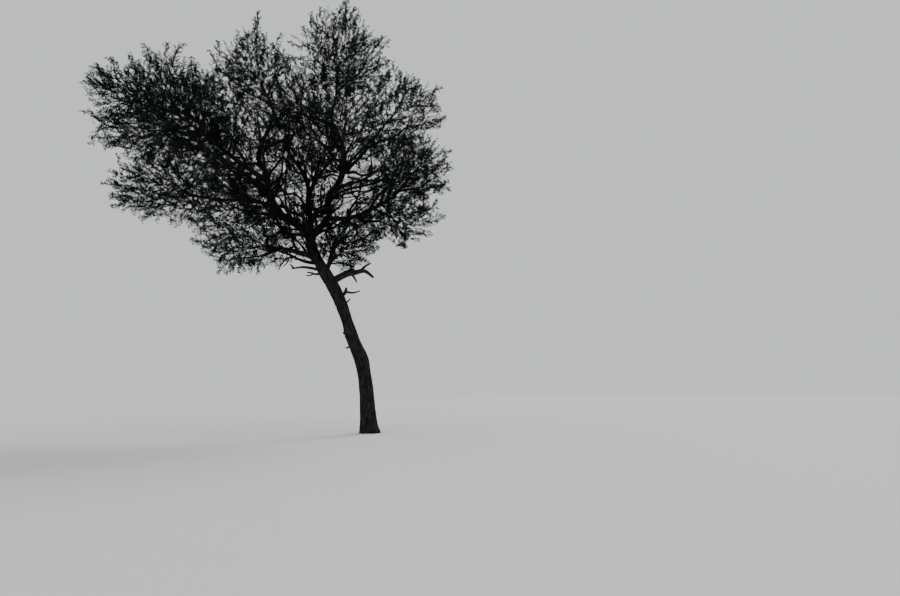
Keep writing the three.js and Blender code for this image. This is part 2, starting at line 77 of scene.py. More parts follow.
# The solids' own numbers: points that the trunk passes, with its radii.
TRUNK_STATIONS = [
    ((0, 0, 0), 0.250), ((-0.025, 0, 0.17), 0.238), ((-0.062, 0.01, 0.63), 0.222),
    ((-0.105, 0.02, 1.15), 0.205), ((-0.18, 0.03, 1.72), 0.192), ((-0.29, 0.03, 2.22), 0.208),
    ((-0.495, 0.015, 2.68), 0.184), ((-0.612, 0.005, 2.98), 0.186), ((-0.738, 0, 3.38), 0.158),
    ((-0.96, -0.01, 3.98), 0.176), ((-1.225, -0.02, 4.52), 0.182), ((-1.43, -0.025, 4.85), 0.178),
    ((-1.665, -0.02, 5.25), 0.144), ((-1.85, -0.01, 5.64), 0.136), ((-1.935, 0, 5.95), 0.142),
    ((-1.965, 0, 6.23), 0.128),
]
ROOT_FLARE = {"lobes": 5, "depth": 0.17, "height": 0.26, "turn": 0.35}
GAP = 0.00035  # between a bough's tip and the stem of its mass
FOLIAGE_CLEAR = 0.034  # between a coarse twig and the limbs
SPACE_MARGIN = 0.03  # between the spaces of two masses, as a share of their reach

# Name, parent, share of the parent's length, radii at base and tip, mass that it runs into, points passed.
MAIN_LIMBS = [
    ("limb_left", "trunk", 0.975, (0.132, 0.034), "left_spire",
     [(-2.37, -0.06, 6.42), (-2.88, -0.13, 6.75), (-3.215, -0.15, 7.38), (-3.36, -0.12, 8.02),
      (-3.64, -0.04, 8.6), (-3.45, 0.06, 9.4), (-3.26, 0.13, 10.15)]),
    ("limb_right", "trunk", 0.975, (0.112, 0.034), "top",
     [(-1.57, 0.04, 6.42), (-1.375, 0.06, 6.78), (-1.44, 0.08, 7.22), (-1.2, 0.06, 7.66),
      (-0.985, 0.04, 8.01), (-0.95, 0.06, 8.82), (-1.37, 0.02, 9.9), (-1.265, 0.04, 10.5)]),
    ("limb_middle", "trunk", 0.985, (0.084, 0.038), "heart_middle",
     [(-1.99, 0.13, 6.76), (-2.04, 0.26, 7.23), (-2.1, 0.2, 7.7)]),
    ("limb_far_left", "limb_left", 0.4, (0.078, 0.038), "far_left",
     [(-4.25, -0.18, 8.42), (-5.5, -0.04, 9.42), (-6.35, 0.12, 10.06)]),
    ("limb_right_low", "limb_right", 0.14, (0.066, 0.034), "right_edge",
     [(-1.01, -0.06, 6.6), (-0.6, -0.12, 6.63), (0.22, -0.06, 7.04), (0.62, 0.12, 7.34)]),
    ("limb_under_left", "trunk", 0.865, (0.062, 0.034), "under_left", [(-2.64, -0.06, 5.61)]),
    ("limb_under_right", "trunk", 0.775, (0.058, 0.026), "under_right", [(-1.275, 0.04, 5.22)]),
]

# Name, centre, reach, then the parent and share where the mass's own bough leaves it, and its long shoots.
MASSES = [
    ("far_left", (-8.2, 0.15, 10.8), (1.25, 1.3, 0.95), None, 0,
     [(-9.49, 0.2, 11.24), (-9.06, -0.2, 11.56)]),
    ("left_crest", (-7, 0.6, 11.3), (1.25, 1.3, 1.1), "limb_far_left", 0.88,
     [(-7.69, 0.5, 12.44), (-6.49, 0.7, 12.8)]),
    ("left_edge", (-7.25, -0.5, 9.3), (1.4, 1.35, 0.85), "limb_far_left", 0.55,
     [(-8.6, -0.45, 9.4), (-8.34, -0.45, 8.81)]),
    ("left_low_outer", (-6.75, 0.25, 7.65), (1.35, 1.35, 0.9), "limb_left", 0.24,
     [(-8.13, 0.3, 8.35), (-7.56, 0.25, 7.21)]),
    ("left_low_inner", (-4.95, -0.4, 6.95), (1.2, 1.3, 0.85), "limb_left", 0.17, [(-5.25, -0.3, 6.14)]),
    ("under_left", (-4, -0.15, 5.8), (1.25, 1.25, 0.8), None, 0,
     [(-4.08, -0.15, 4.89), (-5.13, -0.15, 5.7)]),
    ("left_spire", (-4, 0.25, 11.85), (1.15, 1.3, 1.45), None, 0,
     [(-3.89, 0.25, 13.69), (-4.48, 0.25, 12.75)]),
    ("left_shoulder", (-5.3, -0.7, 10.15), (1.25, 1.35, 1.2), "limb_far_left", 0.4, [(-4.8, -0.5, 11.5)]),
    ("top", (-1.15, 0.15, 12.2), (1.35, 1.4, 1.5), None, 0,
     [(-1.03, 0.15, 14), (-2.14, 0.15, 13.33), (-0.16, 0.15, 12.8)]),
    ("crest_middle", (-2.65, 0.9, 10.9), (1.15, 1.35, 1.2), "limb_right", 0.68, []),
    ("right_upper", (0.85, 0, 10.25), (1.25, 1.35, 1.15), "limb_right", 0.45,
     [(0.98, -0.15, 11.14), (2.08, 0, 10.3)]),
    ("right_edge", (1.45, 0.45, 8.45), (0.95, 1.3, 1.05), None, 0, [(2.4, 0.45, 7.65)]),
    ("right_low", (0.85, -0.45, 6.6), (1.1, 1.25, 0.85), "limb_right_low", 0.6,
     [(1.78, -0.3, 6.81), (1.05, -0.45, 5.6)]),
    ("under_right", (-0.75, 0.1, 5.85), (0.9, 0.95, 0.72), None, 0, []),
    ("fork_tuft", (-2.1, -1.15, 7.05), (0.95, 0.95, 0.75), "trunk", 0.95, []),
    ("low_middle", (-3.45, 1.1, 7), (1.05, 1.2, 0.8), "limb_left", 0.1, []),
    ("heart_left", (-4.75, 0.7, 8.7), (1.25, 1.3, 1.05), "limb_left", 0.34, []),
    ("heart_middle", (-2.35, -0.1, 9.2), (1.2, 1.3, 1.2), None, 0, []),
    ("front_left", (-5.5, -2.9, 8.9), (1.5, 1.4, 1.15), "limb_left", 0.31, []),
    ("front_middle", (-3, -3, 9.4), (1.5, 1.4, 1.25), "limb_left", 0.42, []),
    ("front_right", (-0.45, -2.6, 9.35), (1.45, 1.45, 1.35), "limb_right", 0.36, []),
    ("front_low_left", (-4.1, -2.4, 7.25), (1.35, 1.25, 0.85), "limb_left", 0.2, []),
    ("front_low_right", (0.85, -2.15, 7.75), (1.15, 1.25, 0.95), "limb_right", 0.28, []),
    ("back_left", (-6.3, 2.9, 9.9), (1.55, 1.4, 1.25), "limb_left", 0.28, []),
    ("back_middle", (-3.8, 3.2, 10.6), (1.5, 1.45, 1.35), "limb_middle", 0.68, []),
    ("back_right", (-1.2, 3, 10.7), (1.45, 1.4, 1.3), "limb_middle", 0.55, []),
    ("back_low_left", (-4.45, 2.7, 7.9), (1.45, 1.35, 0.95), "limb_left", 0.14, []),
    ("back_low_right", (0.75, 2.45, 9), (1.2, 1.25, 1.05), "limb_right", 0.24, []),
]
MASS_AT = np.array([mass[1] for mass in MASSES], float)
MASS_REACH = np.array([mass[2] for mass in MASSES], float)
BOUGH_RADII = (0.050, 0.034)
BOUGH_ENTRY = 0.72
BOUGH_LEAVING = 0.65
BOUGH_RISE = 0.25
BOUGH_HANDLE = 0.35

# Name, share of the trunk's length, radii, points passed, and side twigs as radii and points.
DEAD_WOOD = [
    ("dead_limb", 0.728, (0.08, 0.026),
     [(-0.79, 0.01, 4.85), (-0.53, 0.02, 4.9), (-0.23, 0.04, 4.95), (0.04, 0.06, 4.755)],
     [((0.026, 0.011), [(-0.38, 0.03, 4.925), (-0.23, 0.02, 5.085), (-0.035, 0, 5.195)]),
      ((0.024, 0.009), [(-0.64, 0.02, 4.88), (-0.56, 0, 4.76), (-0.455, -0.02, 4.58)]),
      ((0.03, 0.014), [(-0.78, 0.01, 4.85), (-0.69, 0.06, 4.99), (-0.64, 0.09, 5.09)])]),
    ("dead_stub", 0.668, (0.062, 0.03), [(-0.85, 0, 4.23), (-0.78, 0, 4.42)],
     [((0.022, 0.009), [(-0.82, 0, 4.3), (-0.58, 0.01, 4.265), (-0.36, 0, 4.325)])]),
    ("dead_twig_left", 0.79, (0.03, 0.014), [(-2.1, -0.04, 5.06), (-2.48, -0.06, 5.01)],
     [((0.016, 0.009), [(-2.4, -0.055, 5.02), (-2.53, -0.06, 5.15)])]),
]
# How much thicker their middles are than the solids' straight taper, along a part of a sine's arc.
DEAD_SWELL = {"dead_limb": 1.65, "dead_stub": 1.3, "dead_twig_left": 2.0}
DEAD_SWELL_ARC = (0.12, 0.88)
DEAD_TWIG_SWELL = 2.0
# Thin dead twigs that the solids leave out: radii and points passed.
DEAD_TWIGS = [
    ((0.016, 0.009), [(-0.86, 0, 3.9), (-0.78, -0.01, 3.95), (-0.71, -0.02, 4.01), (-0.65, -0.03, 4.08)]),
    ((0.024, 0.010), [(-1.5, 0, 4.9), (-1.73, -0.02, 4.84), (-1.86, -0.03, 4.88), (-2.0, -0.02, 4.9)]),
    ((0.014, 0.007), [(-1.8, -0.02, 4.86), (-1.93, -0.05, 4.79), (-2.03, -0.08, 4.8)]),
    ((0.020, 0.008), [(-2.35, -0.06, 5.4), (-2.62, -0.1, 5.32), (-2.78, -0.12, 5.14), (-2.86, -0.12, 4.96)]),
    ((0.014, 0.007), [(-2.56, -0.1, 5.35), (-2.6, -0.16, 5.18), (-2.72, -0.2, 5.04)]),
    ((0.032, 0.014), [(-1.02, 0.02, 4.76), (-0.86, 0.04, 4.9), (-0.73, 0.06, 4.97), (-0.56, 0.08, 5.02)]),
    ((0.036, 0.024), [(-0.68, 0, 2.99), (-0.78, -0.01, 3.01), (-0.84, -0.01, 3.04)]),
    ((0.020, 0.010), [(-0.56, 0, 2.6), (-0.66, -0.01, 2.59), (-0.76, -0.02, 2.55)]),
]

# The solids' rule, with the numbers of the solids for the coarse twigs and finer ones after them.
COARSE = {"per_cubic_metre": 1.58, "inner": 0.2, "outer": 0.68}
FINE = {"per_cubic_metre": 52, "inner": 0.05, "outer": 1.0}
CANDIDATES = 6
JOIN = {"path_weight": 0.35, "turn_weight": 0.5, "choices": 4}
PROBE_STEP = 0.07
STEM_LENGTH = 0.17
STEM_FREE = 0.11
COARSE_RADIUS = {"tip": 0.011, "power": 2.25}
COARSE_STEP = 0.16  # a coarse twig is divided this finely, so that fine ones can leave it anywhere
COARSE_SPANS = 8
FINE_CLEAR = 0.008
NEAR_MARGIN = 0.6  # limbs farther than this outside a mass don't matter to it
LIMB_WAY = 0.9  # how much of a way home counts for a twig that leaves a limb itself
ROOTS_BETWEEN = (0.3, 0.97)  # where on a limb such twigs leave it, as shares of its length
FLOW_FROM = np.array([-2.0, 0.0, 5.9])  # near the fork: fine twigs run away from here
FLOW_WEIGHT = 0.3
TIP_RADIUS = 0.004
TWIG_RADIUS = {"tip": TIP_RADIUS, "power": 2.5}
TWIG_WIDENING = 1.15  # how much thicker a twig may start than it goes on
CURVED_ABOVE = 0.007  # a twig thicker than this is drawn with twice the points
TWIG_SIDES = ((0.014, 6), (0.008, 4), (0, 3))  # sides of a twig that is thicker than so much
GOLDEN_ANGLE = math.radians(137.5)

# Side boughs, which the solids leave out: where they leave the limbs, their sizes, and their twigs.
SIDE_FROM = {"trunk": 0.93, "limb_": 0.05, "bough_": 0.05}
SIDE_TO = 0.99
SIDE_SPACING = {"trunk": 0.065, "limb_": 0.27, "bough_": 0.5}
SIDE_LENGTH = {"trunk": (1.4, 2.4), "limb_": (1.2, 2.3), "bough_": (0.8, 1.5)}
SIDE_RADII = {"trunk": (0.055, 0.014), "limb_": (0.046, 0.012), "bough_": (0.028, 0.009)}
SIDE_COURSE = {"onwards": 0.7, "outwards": 0.6, "rise": 0.3, "step": 0.33, "sway": 0.055}
SIDE_TRIES = 6
SIDE_BOUGH_LIMIT = 0.92  # how far out in a mass they may be, and their twigs, as a share of its reach
SIDE_LIMIT = 1.12
SIDE_STRETCH = np.array([1.0, 1.8, 1.0])  # in depth the masses stand apart, and this closes the room there
SIDE_DEPTH = 3.0
HEART = {"at": FLOW_FROM + (0.3, 0, 1.1), "reach": (2.6, 2.6, 1.75)}  # here they may be anywhere
SIDE_TWIGS = {"per_metre": 19, "reach": 0.62, "leafless": 0.5}
# Boughs over the fork and round the right limb, as the photo shows them: radii and points passed.
INNER_BOUGHS = [
    ((0.058, 0.03), [
        (-1.93, 0, 6.5), (-2.02, -0.1, 6.83), (-2.04, -0.15, 7.1), (-2, -0.2, 7.44), (-1.95, -0.25, 7.76),
        (-1.76, -0.25, 7.84), (-1.53, -0.2, 7.9), (-1.27, -0.1, 8), (-1.08, 0.03, 7.98)]),
    ((0.04, 0.016), [
        (-1.96, -0.25, 7.75), (-2.15, -0.3, 7.94), (-2.33, -0.33, 7.97), (-2.46, -0.36, 8.24),
        (-2.39, -0.4, 8.66), (-2.2, -0.42, 8.8)]),
    ((0.026, 0.018), [(-1.84, -0.25, 7.8), (-1.77, -0.2, 8.01), (-1.57, -0.15, 8.14), (-1.14, 0, 8.08)]),
    ((0.04, 0.016), [
        (-1.58, 0, 6.67), (-1.61, -0.1, 6.97), (-1.62, -0.15, 7.31), (-1.6, -0.2, 7.55),
        (-1.41, -0.2, 7.96)]),
    ((0.06, 0.022), [
        (-1.91, 0, 6.49), (-2.04, -0.1, 6.83), (-2.16, -0.2, 7.08), (-2.32, -0.3, 7.27), (-2.55, -0.35, 7.32),
        (-2.81, -0.4, 7.24)]),
    ((0.062, 0.026), [
        (-1.95, 0.05, 6.4), (-2.23, 0.15, 6.71), (-2.59, 0.2, 6.87), (-2.93, 0.25, 7.06),
        (-3.26, 0.3, 7.15)]),
    ((0.06, 0.045), [(-2.18, 0.1, 6.88), (-1.91, 0, 6.67), (-1.62, -0.1, 6.68), (-1.38, 0, 6.91)]),
    ((0.05, 0.04), [(-2.08, -0.1, 7), (-1.82, -0.15, 6.87), (-1.56, -0.1, 6.97), (-1.35, 0, 7.19)]),
    ((0.026, 0.01), [(-1.05, 0.05, 8.13), (-1.27, 0.1, 8.33), (-1.65, 0.2, 8.69), (-2.1, 0.3, 8.95)]),
    ((0.03, 0.012), [(-1.03, 0.05, 8.2), (-1.21, -0.1, 8.41), (-1.37, -0.2, 8.7), (-1.6, -0.3, 9.02)]),
    ((0.024, 0.01), [(-1.11, 0, 8.08), (-1.35, 0.15, 8.31), (-1.69, 0.25, 8.47), (-2.25, 0.35, 8.82)]),
    ((0.068, 0.024), [
        (-0.87, 0.05, 8.13), (-0.71, 0.1, 8.38), (-0.54, 0.15, 8.56), (-0.37, 0.2, 8.8), (-0.17, 0.25, 9.04),
        (0.11, 0.3, 9.21), (0.62, 0.3, 9.4), (1.05, 0.3, 9.75)]),
    ((0.042, 0.016), [
        (-0.94, 0.05, 8.27), (-0.72, -0.05, 8.46), (-0.54, -0.1, 8.55), (-0.25, -0.2, 8.48),
        (0.03, -0.25, 8.64), (0.35, -0.3, 8.74)]),
    ((0.05, 0.018), [
        (-0.84, 0.05, 8.09), (-0.61, -0.05, 8.1), (-0.36, -0.1, 7.98), (-0.18, -0.15, 7.99),
        (0.04, -0.2, 8.07), (0.35, -0.25, 8.1), (0.67, -0.3, 8.02)]),
    ((0.034, 0.014), [(-0.83, 0.05, 7.98), (-0.56, 0.1, 7.93), (-0.28, 0.15, 7.89), (0.27, 0.25, 7.9)]),
    ((0.042, 0.018), [
        (-1.38, 0.05, 7.28), (-1.18, 0.1, 7.33), (-0.81, 0.18, 7.5), (-0.53, 0.2, 7.56), (-0.22, 0.25, 7.55),
        (-0.01, 0.3, 7.7), (0.34, 0.35, 7.82), (0.69, 0.4, 8.02)]),
    ((0.024, 0.01), [(-1.39, 0.05, 7.12), (-1.18, -0.05, 7.02), (-0.75, -0.15, 7.11), (-0.51, -0.2, 7.23)]),
    ((0.046, 0.018), [(-0.97, 0.05, 8.57), (-0.84, 0, 8.77), (-0.73, -0.05, 8.97), (-0.56, -0.1, 9.36)]),
    ((0.03, 0.012), [(-0.79, -0.06, 6.6), (-0.57, -0.15, 6.35), (-0.45, -0.2, 6.06), (-0.39, -0.25, 5.8)]),
    ((0.082, 0.042), [
        (-1.4, 0.02, 4.93), (-1.31, 0, 5.32), (-1.25, -0.02, 5.57), (-1.18, -0.03, 5.77),
        (-1.15, -0.03, 5.95)]),
    ((0.058, 0.02), [
        (-1.23, -0.02, 5.6), (-1.11, 0, 5.76), (-0.89, 0.05, 6.01), (-0.72, 0.1, 6.23), (-0.5, 0.15, 6.4)]),
    ((0.034, 0.014), [(-1.27, 0, 5.5), (-1.43, 0, 5.6), (-1.62, -0.05, 5.52)]),
    ((0.03, 0.012), [(-1.33, 0.02, 5.16), (-1.12, 0.05, 5.2), (-0.84, 0.08, 5.2), (-0.66, 0.1, 5.12)]),
    ((0.058, 0.024), [
        (-1.65, -0.02, 5.18), (-1.9, -0.04, 5.2), (-2.1, -0.06, 5.24), (-2.35, -0.1, 5.34),
        (-2.62, -0.12, 5.47), (-3.1, -0.15, 5.6)]),
]
# Where twigs are bare: mostly so in the middle of each, and less so towards its rim.
CLEARINGS = [
    {"at": (-1.8, 0.0, 6.8), "reach": (1.1, 2.0, 0.8), "leafless": 0.95},
    {"at": (-0.75, 0.0, 7.65), "reach": (1.8, 3.2, 1.2), "leafless": 0.95},
    {"at": (-3.0, -0.6, 7.4), "reach": (1.8, 3.4, 1.4), "leafless": 0.92},
    {"at": (-3.75, -0.4, 6.6), "reach": (1.15, 3.4, 0.6), "leafless": 0.92},
    {"at": (-1.9, 0.0, 8.9), "reach": (2.9, 3.4, 2.0), "leafless": 0.75},
]
# Room between the masses that these twigs fill as well: its middle, reach and points in a cubic metre.
BETWEEN = [
    ((-1.95, -0.1, 6.75), (0.5, 0.5, 0.28), 220),
    ((-2.25, 0, 5.45), (0.5, 0.5, 0.35), 130),
    ((-1.5, 0.1, 5.72), (0.32, 0.5, 0.4), 200),
    ((-0.85, 0.1, 5.42), (0.45, 0.5, 0.42), 170),
    ((-2.5, 0.1, 5.85), (0.75, 0.9, 0.6), 55),
    ((-1.6, 0.1, 7.4), (0.95, 1.2, 1.15), 90),
    ((-0.4, 0.1, 7.35), (1.1, 1.2, 0.9), 120),
    ((-0.9, 0.2, 6.1), (1.0, 1.0, 0.65), 90),
    ((-6.7, 0, 8.7), (1.1, 0.8, 0.4), 80),
    ((-1.2, -1.55, 10.6), (1.7, 0.85, 1.1), 20),
    ((-1.5, -1.3, 11.2), (1.3, 0.8, 0.8), 14),
    ((-1.7, 1.6, 11.4), (1.8, 0.8, 1.2), 24),
    ((-4.6, -1.7, 9.8), (1.9, 0.8, 0.9), 20),
    ((-5.4, 1.75, 10.5), (1.9, 0.8, 1.1), 26),
    ((0.8, -1.2, 8.9), (1.2, 0.8, 1.4), 14),
    ((0.7, 1.5, 9.3), (1.2, 0.8, 1.3), 18),
    ((1.95, 0.2, 7.85), (0.6, 0.7, 0.95), 45),
    ((-8.15, 0.3, 11.6), (0.65, 0.7, 0.45), 70),
    ((-8.75, 0.2, 11.4), (0.5, 0.6, 0.4), 70),
]

# How much fuller than the rest a mass grows, where few others stand before or behind it.
FULLNESS = {
    "under_left": 1.9, "left_low_outer": 1.8, "left_low_inner": 1.1, "left_shoulder": 0.55, "left_edge": 1.2,
    "left_crest": 0.95, "left_spire": 0.85, "far_left": 1.15, "heart_left": 0.5, "heart_middle": 0.5,
    "low_middle": 0.3, "fork_tuft": 0.15, "crest_middle": 0.5, "right_upper": 0.8, "right_edge": 0.6,
    "right_low": 1.25, "under_right": 2.2, "front_left": 0.4, "front_middle": 0.24, "front_right": 0.28,
    "front_low_left": 0.24, "front_low_right": 0.38, "back_left": 0.5, "back_middle": 0.32,
    "back_right": 0.36, "back_low_left": 0.5, "back_low_right": 0.36,
}
# How much a mass narrows towards its top, how far it keeps inside its reach, and how ragged every mass is.
NARROWING = {"top": 0.4, "left_spire": 0.8, "left_crest": 0.1, "right_upper": 0.4, "left_shoulder": 0.65}
TRIMMED = {"far_left": 0.15, "left_edge": 0.08, "left_crest": 0.1, "left_shoulder": 0.2, "left_spire": 0.1}
RAGGED = {"depth": 0.25, "scale": 2.4}

# A leafy spray at a twig's end, and the longer shoots at the crown's edge.
SPRAY = {"length": (0.20, 0.34), "outwards": 0.5, "stray": 1.3, "rise": 0.25, "bend": 0.06, "past": 0.1,
         "tries": 4, "shortening": 0.2}
SHOOT = {"share": 0.78, "chance": 0.3, "length": (0.4, 0.8), "rise": 0.5, "limit": 1.3,
         "twig_length": (0.16, 0.06)}
SPRAY_RADIUS = 0.8 * TIP_RADIUS
SHOOT_TWIG_RADIUS = 0.7 * TIP_RADIUS
OVERHANG = 0.13  # how far a spray's end may pass the solids' box
LONG_SHOOT = {"length": 1.3, "most": 0.75, "passed": (0.35, 0.7), "bend": 0.03, "radius": 0.0095,
              "leafy_from": 0.2, "twig_length": (0.30, 0.08)}
SHOOT_TWIGS = {"from": 0.12, "to": 0.97, "spacing": 0.045, "size": (0.6, 1.4), "onwards": 0.9, "bend": 0.012}
LEAF_SPACING = 0.043
LEAVES_AT_NODE = 2
LEAFY_BELOW = 0.0085  # the radius below which a twig carries leaves all along
LEAF_LENGTH = (0.040, 0.062)
LEAF_SPREAD = (0.7, 1.5)  # the angle from its twig, and for the leaf at a tip
TIP_LEAF_SPREAD = 0.2
LEAF_TURN = 1.2
LEAF_RISE = 0.12
LEAF_ROLL = 1.3
LEAF_OUTLINE = [(0, 0), (0.50, 0.54), (1.0, 0.20), (0.50, -0.54), (1.0, -0.20)]  # a pair of leaflets
LEAF_BEND = {"up": 0.22, "down": 0.10}
LEAF_FACES = [(0, 2, 1), (0, 3, 4)]
# The twigs are parted at these places from left to right, to keep each piece small.
TWIG_PARTS = {"left": -4.9, "middle": -2.2, "right": math.inf}
INNER_TWIG_PARTS = {"inner_left": -2.2, "inner_right": math.inf}
UP = np.array([0.0, 0.0, 1.0])
NEARLY_UP = UP + 0.02  # for a cross product with a heading that may be straight up


class Course:
    """A curve measured by its length."""

    def __init__(self, dense):
        steps = np.linalg.norm(np.diff(dense, axis=0), axis=1)
        self.dense = dense
        self.way = np.concatenate([[0.0], np.cumsum(steps)])
        self.length = self.way[-1]

    def at(self, share):
        way = np.asarray(share, float) * self.length
        return np.stack([np.interp(way, self.way, self.dense[:, k]) for k in range(3)], axis=-1)

    def heading(self, share):
        share = np.asarray(share, float)
        ahead = self.at(np.minimum(share + 0.002, 1))
        return unit(ahead - self.at(np.maximum(share - 0.002, 0)))


def unit(vectors):
    length = np.linalg.norm(vectors, axis=-1, keepdims=True)
    return vectors / np.maximum(length, 1e-12)


def between(ends, share):
    return ends[0] + (ends[1] - ends[0]) * share


def spline(points, per_span):
    """Points along a centripetal Catmull-Rom spline through the given ones."""
    p = np.asarray(points, float)
    p = np.vstack([2 * p[0] - p[1], p, 2 * p[-1] - p[-2]])
    t = (np.arange(per_span) / per_span)[:, None]
    spans = []
    for a, b, c, d in zip(p, p[1:], p[2:], p[3:]):
        before, here, after = (np.linalg.norm(v) ** 0.5 for v in (b - a, c - b, d - c))
        leave = ((b - a) / before - (c - a) / (before + here) + (c - b) / here) * here
        arrive = ((c - b) / here - (d - b) / (here + after) + (d - c) / after) * here
        cubic = 2 * b - 2 * c + leave + arrive
        square = 3 * c - 3 * b - 2 * leave - arrive
        spans.append(b + leave * t + square * t**2 + cubic * t**3)
    return np.vstack([*spans, p[-2:-1]])


def smooth(points):
    return Course(spline(points, 32))


def bezier(start, first, second, end):
    t = np.linspace(0, 1, 65)[:, None]
    return Course(start * (1 - t)**3 + 3 * first * (1 - t)**2 * t + 3 * second * (1 - t) * t**2 + end * t**3)


def seeded(seed):
    """The solids' repeatable stream of numbers from 0 to 1."""
    mask = 0xffffffff
    state = seed

    def draw():
        nonlocal state
        state = (state + 0x6d2b79f5) & mask
        t = ((state ^ (state >> 15)) * (state | 1)) & mask
        t ^= (t + (((t ^ (t >> 7)) * (t | 61)) & mask)) & mask
        return ((t ^ (t >> 14)) & mask) / 4294967296

    return draw


# Limbs: the courses of the solids, by name, with their radii.
limbs = {}


def add_limb(name, course, radii):
    shares = np.linspace(0, 1, math.ceil(course.length / PROBE_STEP) + 1)
    limbs[name] = {
        "course": course, "radii": radii, "shares": shares, "at": course.at(shares),
        "radius": between(radii, shares),
    }


def entry_of(index, start):
    """Where a limb that comes from a point ends in a mass."""
    direction = unit((start - MASS_AT[index]) / MASS_REACH[index])
    return MASS_AT[index] + direction * BOUGH_ENTRY * MASS_REACH[index]


def lay_out_limbs():
    ends = (TRUNK_STATIONS[0][1], TRUNK_STATIONS[-1][1])
    add_limb("trunk", smooth([at for at, radius in TRUNK_STATIONS]), ends)
    names = [mass[0] for mass in MASSES]
    boughs = {}
    for name, parent, share, radii, into, through in MAIN_LIMBS:
        start = limbs[parent]["course"].at(share)
        end = entry_of(names.index(into), np.array(through[-1]))
        boughs[into] = name
        add_limb(name, smooth([start, *through, end]), radii)
    for name, share, radii, through, twigs in DEAD_WOOD:
        add_limb(name, smooth([limbs["trunk"]["course"].at(share), *through]), radii)
    for index, (name, at, reach, parent, share, shoots) in enumerate(MASSES):
        if not parent:
            continue
        course = limbs[parent]["course"]
        start = course.at(share)
        end = entry_of(index, start)
        towards = unit(end - start)
        tangent = course.heading(share)
        leave = unit(tangent + (towards - tangent) * BOUGH_LEAVING)
        arrive = unit(towards + UP * BOUGH_RISE)
        handle = np.linalg.norm(end - start) * BOUGH_HANDLE
        boughs[name] = "bough_" + name
        add_limb(boughs[name], bezier(start, start + leave * handle, end - arrive * handle, end), BOUGH_RADII)
    return boughs


BOUGH_OF = lay_out_limbs()
LIMB_AT = np.vstack([limb["at"] for limb in limbs.values()])
LIMB_RADIUS = np.concatenate([limb["radius"] for limb in limbs.values()])


# Space: what a mass may fill.
def shares_of_reach(points):
    return np.linalg.norm((points[:, None] - MASS_AT) / MASS_REACH, axis=2)


def in_own_space(index, points):
    shares = shares_of_reach(points)
    own = shares[:, index].copy()
    shares[:, index] = np.inf
    return (own <= 1) & (shares.min(axis=1) > own + SPACE_MARGIN)


def in_box(points):
    """True where every point is no farther past the solids' box than a spray may be."""
    return bool((points > BOX_LOW - OVERHANG).all() and (points < BOX_HIGH + (OVERHANG, OVERHANG, 0)).all())


def clear_of_limbs(points, near_at, near_radius, clearance):
    gaps = np.linalg.norm(points[:, None] - near_at, axis=2) - near_radius
    return gaps.min(axis=1, initial=1e9) >= clearance


class Growth:
    """Twigs while they grow: their places, headings, ways home, parents and least radii. A twig whose parent
    is -1 is a root, which lies on a limb."""

    def __init__(self, near_at, near_radius, allowed):
        self.near_at = near_at
        self.near_radius = near_radius
        self.allowed = allowed
        self.at, self.heading, self.way, self.parent, self.least = [], [], [], [], []

    def add(self, at, heading, way, parent, least=TIP_RADIUS):
        self.at.append(at)
        self.heading.append(heading)
        self.way.append(way)
        self.parent.append(parent)
        self.least.append(least)
        return len(self.at) - 1

    def add_limb_roots(self, names, keep):
        for name in names:
            limb = limbs[name]
            shares = limb["shares"]
            headings = limb["course"].heading(shares)
            good = keep(limb["at"]) & (shares > ROOTS_BETWEEN[0]) & (shares < ROOTS_BETWEEN[1])
            for k in np.nonzero(good)[0]:
                self.add(limb["at"][k], headings[k], LIMB_WAY, -1)

    def add_course(self, course, radii, parent):
        """A twig's whole course, in short pieces that finer twigs can leave."""
        count = max(1, round(course.length / COARSE_STEP))
        for share in np.arange(1, count + 1) / count:
            at = course.at(share)
            step = at - self.at[parent]
            length = np.linalg.norm(step)
            parent = self.add(at, step / length, self.way[parent] + length, parent, between(radii, share))
        return parent

    def clear(self, points, clearance):
        return clear_of_limbs(points, self.near_at, self.near_radius, clearance)

    def fits(self, start, end, clearance, free=STEM_FREE):
        count = max(1, math.ceil(np.linalg.norm(end - start) / PROBE_STEP))
        points = start + (end - start) * (np.arange(count + 1) / count)[:, None]
        points = points[np.linalg.norm(points - start, axis=1) > free]
        if not len(points):
            return True
        return bool(self.allowed(points).all() and self.clear(points, clearance).all())


def spread_coarse(growth, index, draw):
    """The solid's own points: of a few candidates each time, the one farthest from the points so far."""
    centre, reach = MASS_AT[index], MASS_REACH[index]
    volume = 4 / 3 * math.pi * reach.prod()
    points = []
    for _ in range(round(volume * COARSE["per_cubic_metre"])):
        best, widest = None, -1
        for _ in range(CANDIDATES):
            height = 2 * draw() - 1
            angle = 2 * math.pi * draw()
            level = math.sqrt(1 - height * height)
            share = between((COARSE["inner"], COARSE["outer"]), math.sqrt(draw()))
            ball = np.array([level * math.cos(angle), level * math.sin(angle), height])
            point = centre + ball * share * reach
            gap = min([1e9, *(np.linalg.norm(other - point) for other in points)])
            if gap <= widest or not in_own_space(index, point[None])[0]:
                continue
            if growth.clear(point[None], FOLIAGE_CLEAR)[0]:
                best, widest = point, gap
        if best is not None:
            points.append(best)
    return points


def thinned(points, good, count):
    """Of a few candidates each time, the good one that is farthest from the points so far."""
    taken = np.empty((count, 3))
    size = 0
    for k in range(count):
        group = slice(k * CANDIDATES, (k + 1) * CANDIDATES)
        choices = points[group][good[group]]
        if not len(choices):
            continue
        gaps = np.linalg.norm(choices[:, None] - taken[:size], axis=2).min(axis=1, initial=1e9)
        taken[size] = choices[gaps.argmax()]
        size += 1
    return taken[:size]


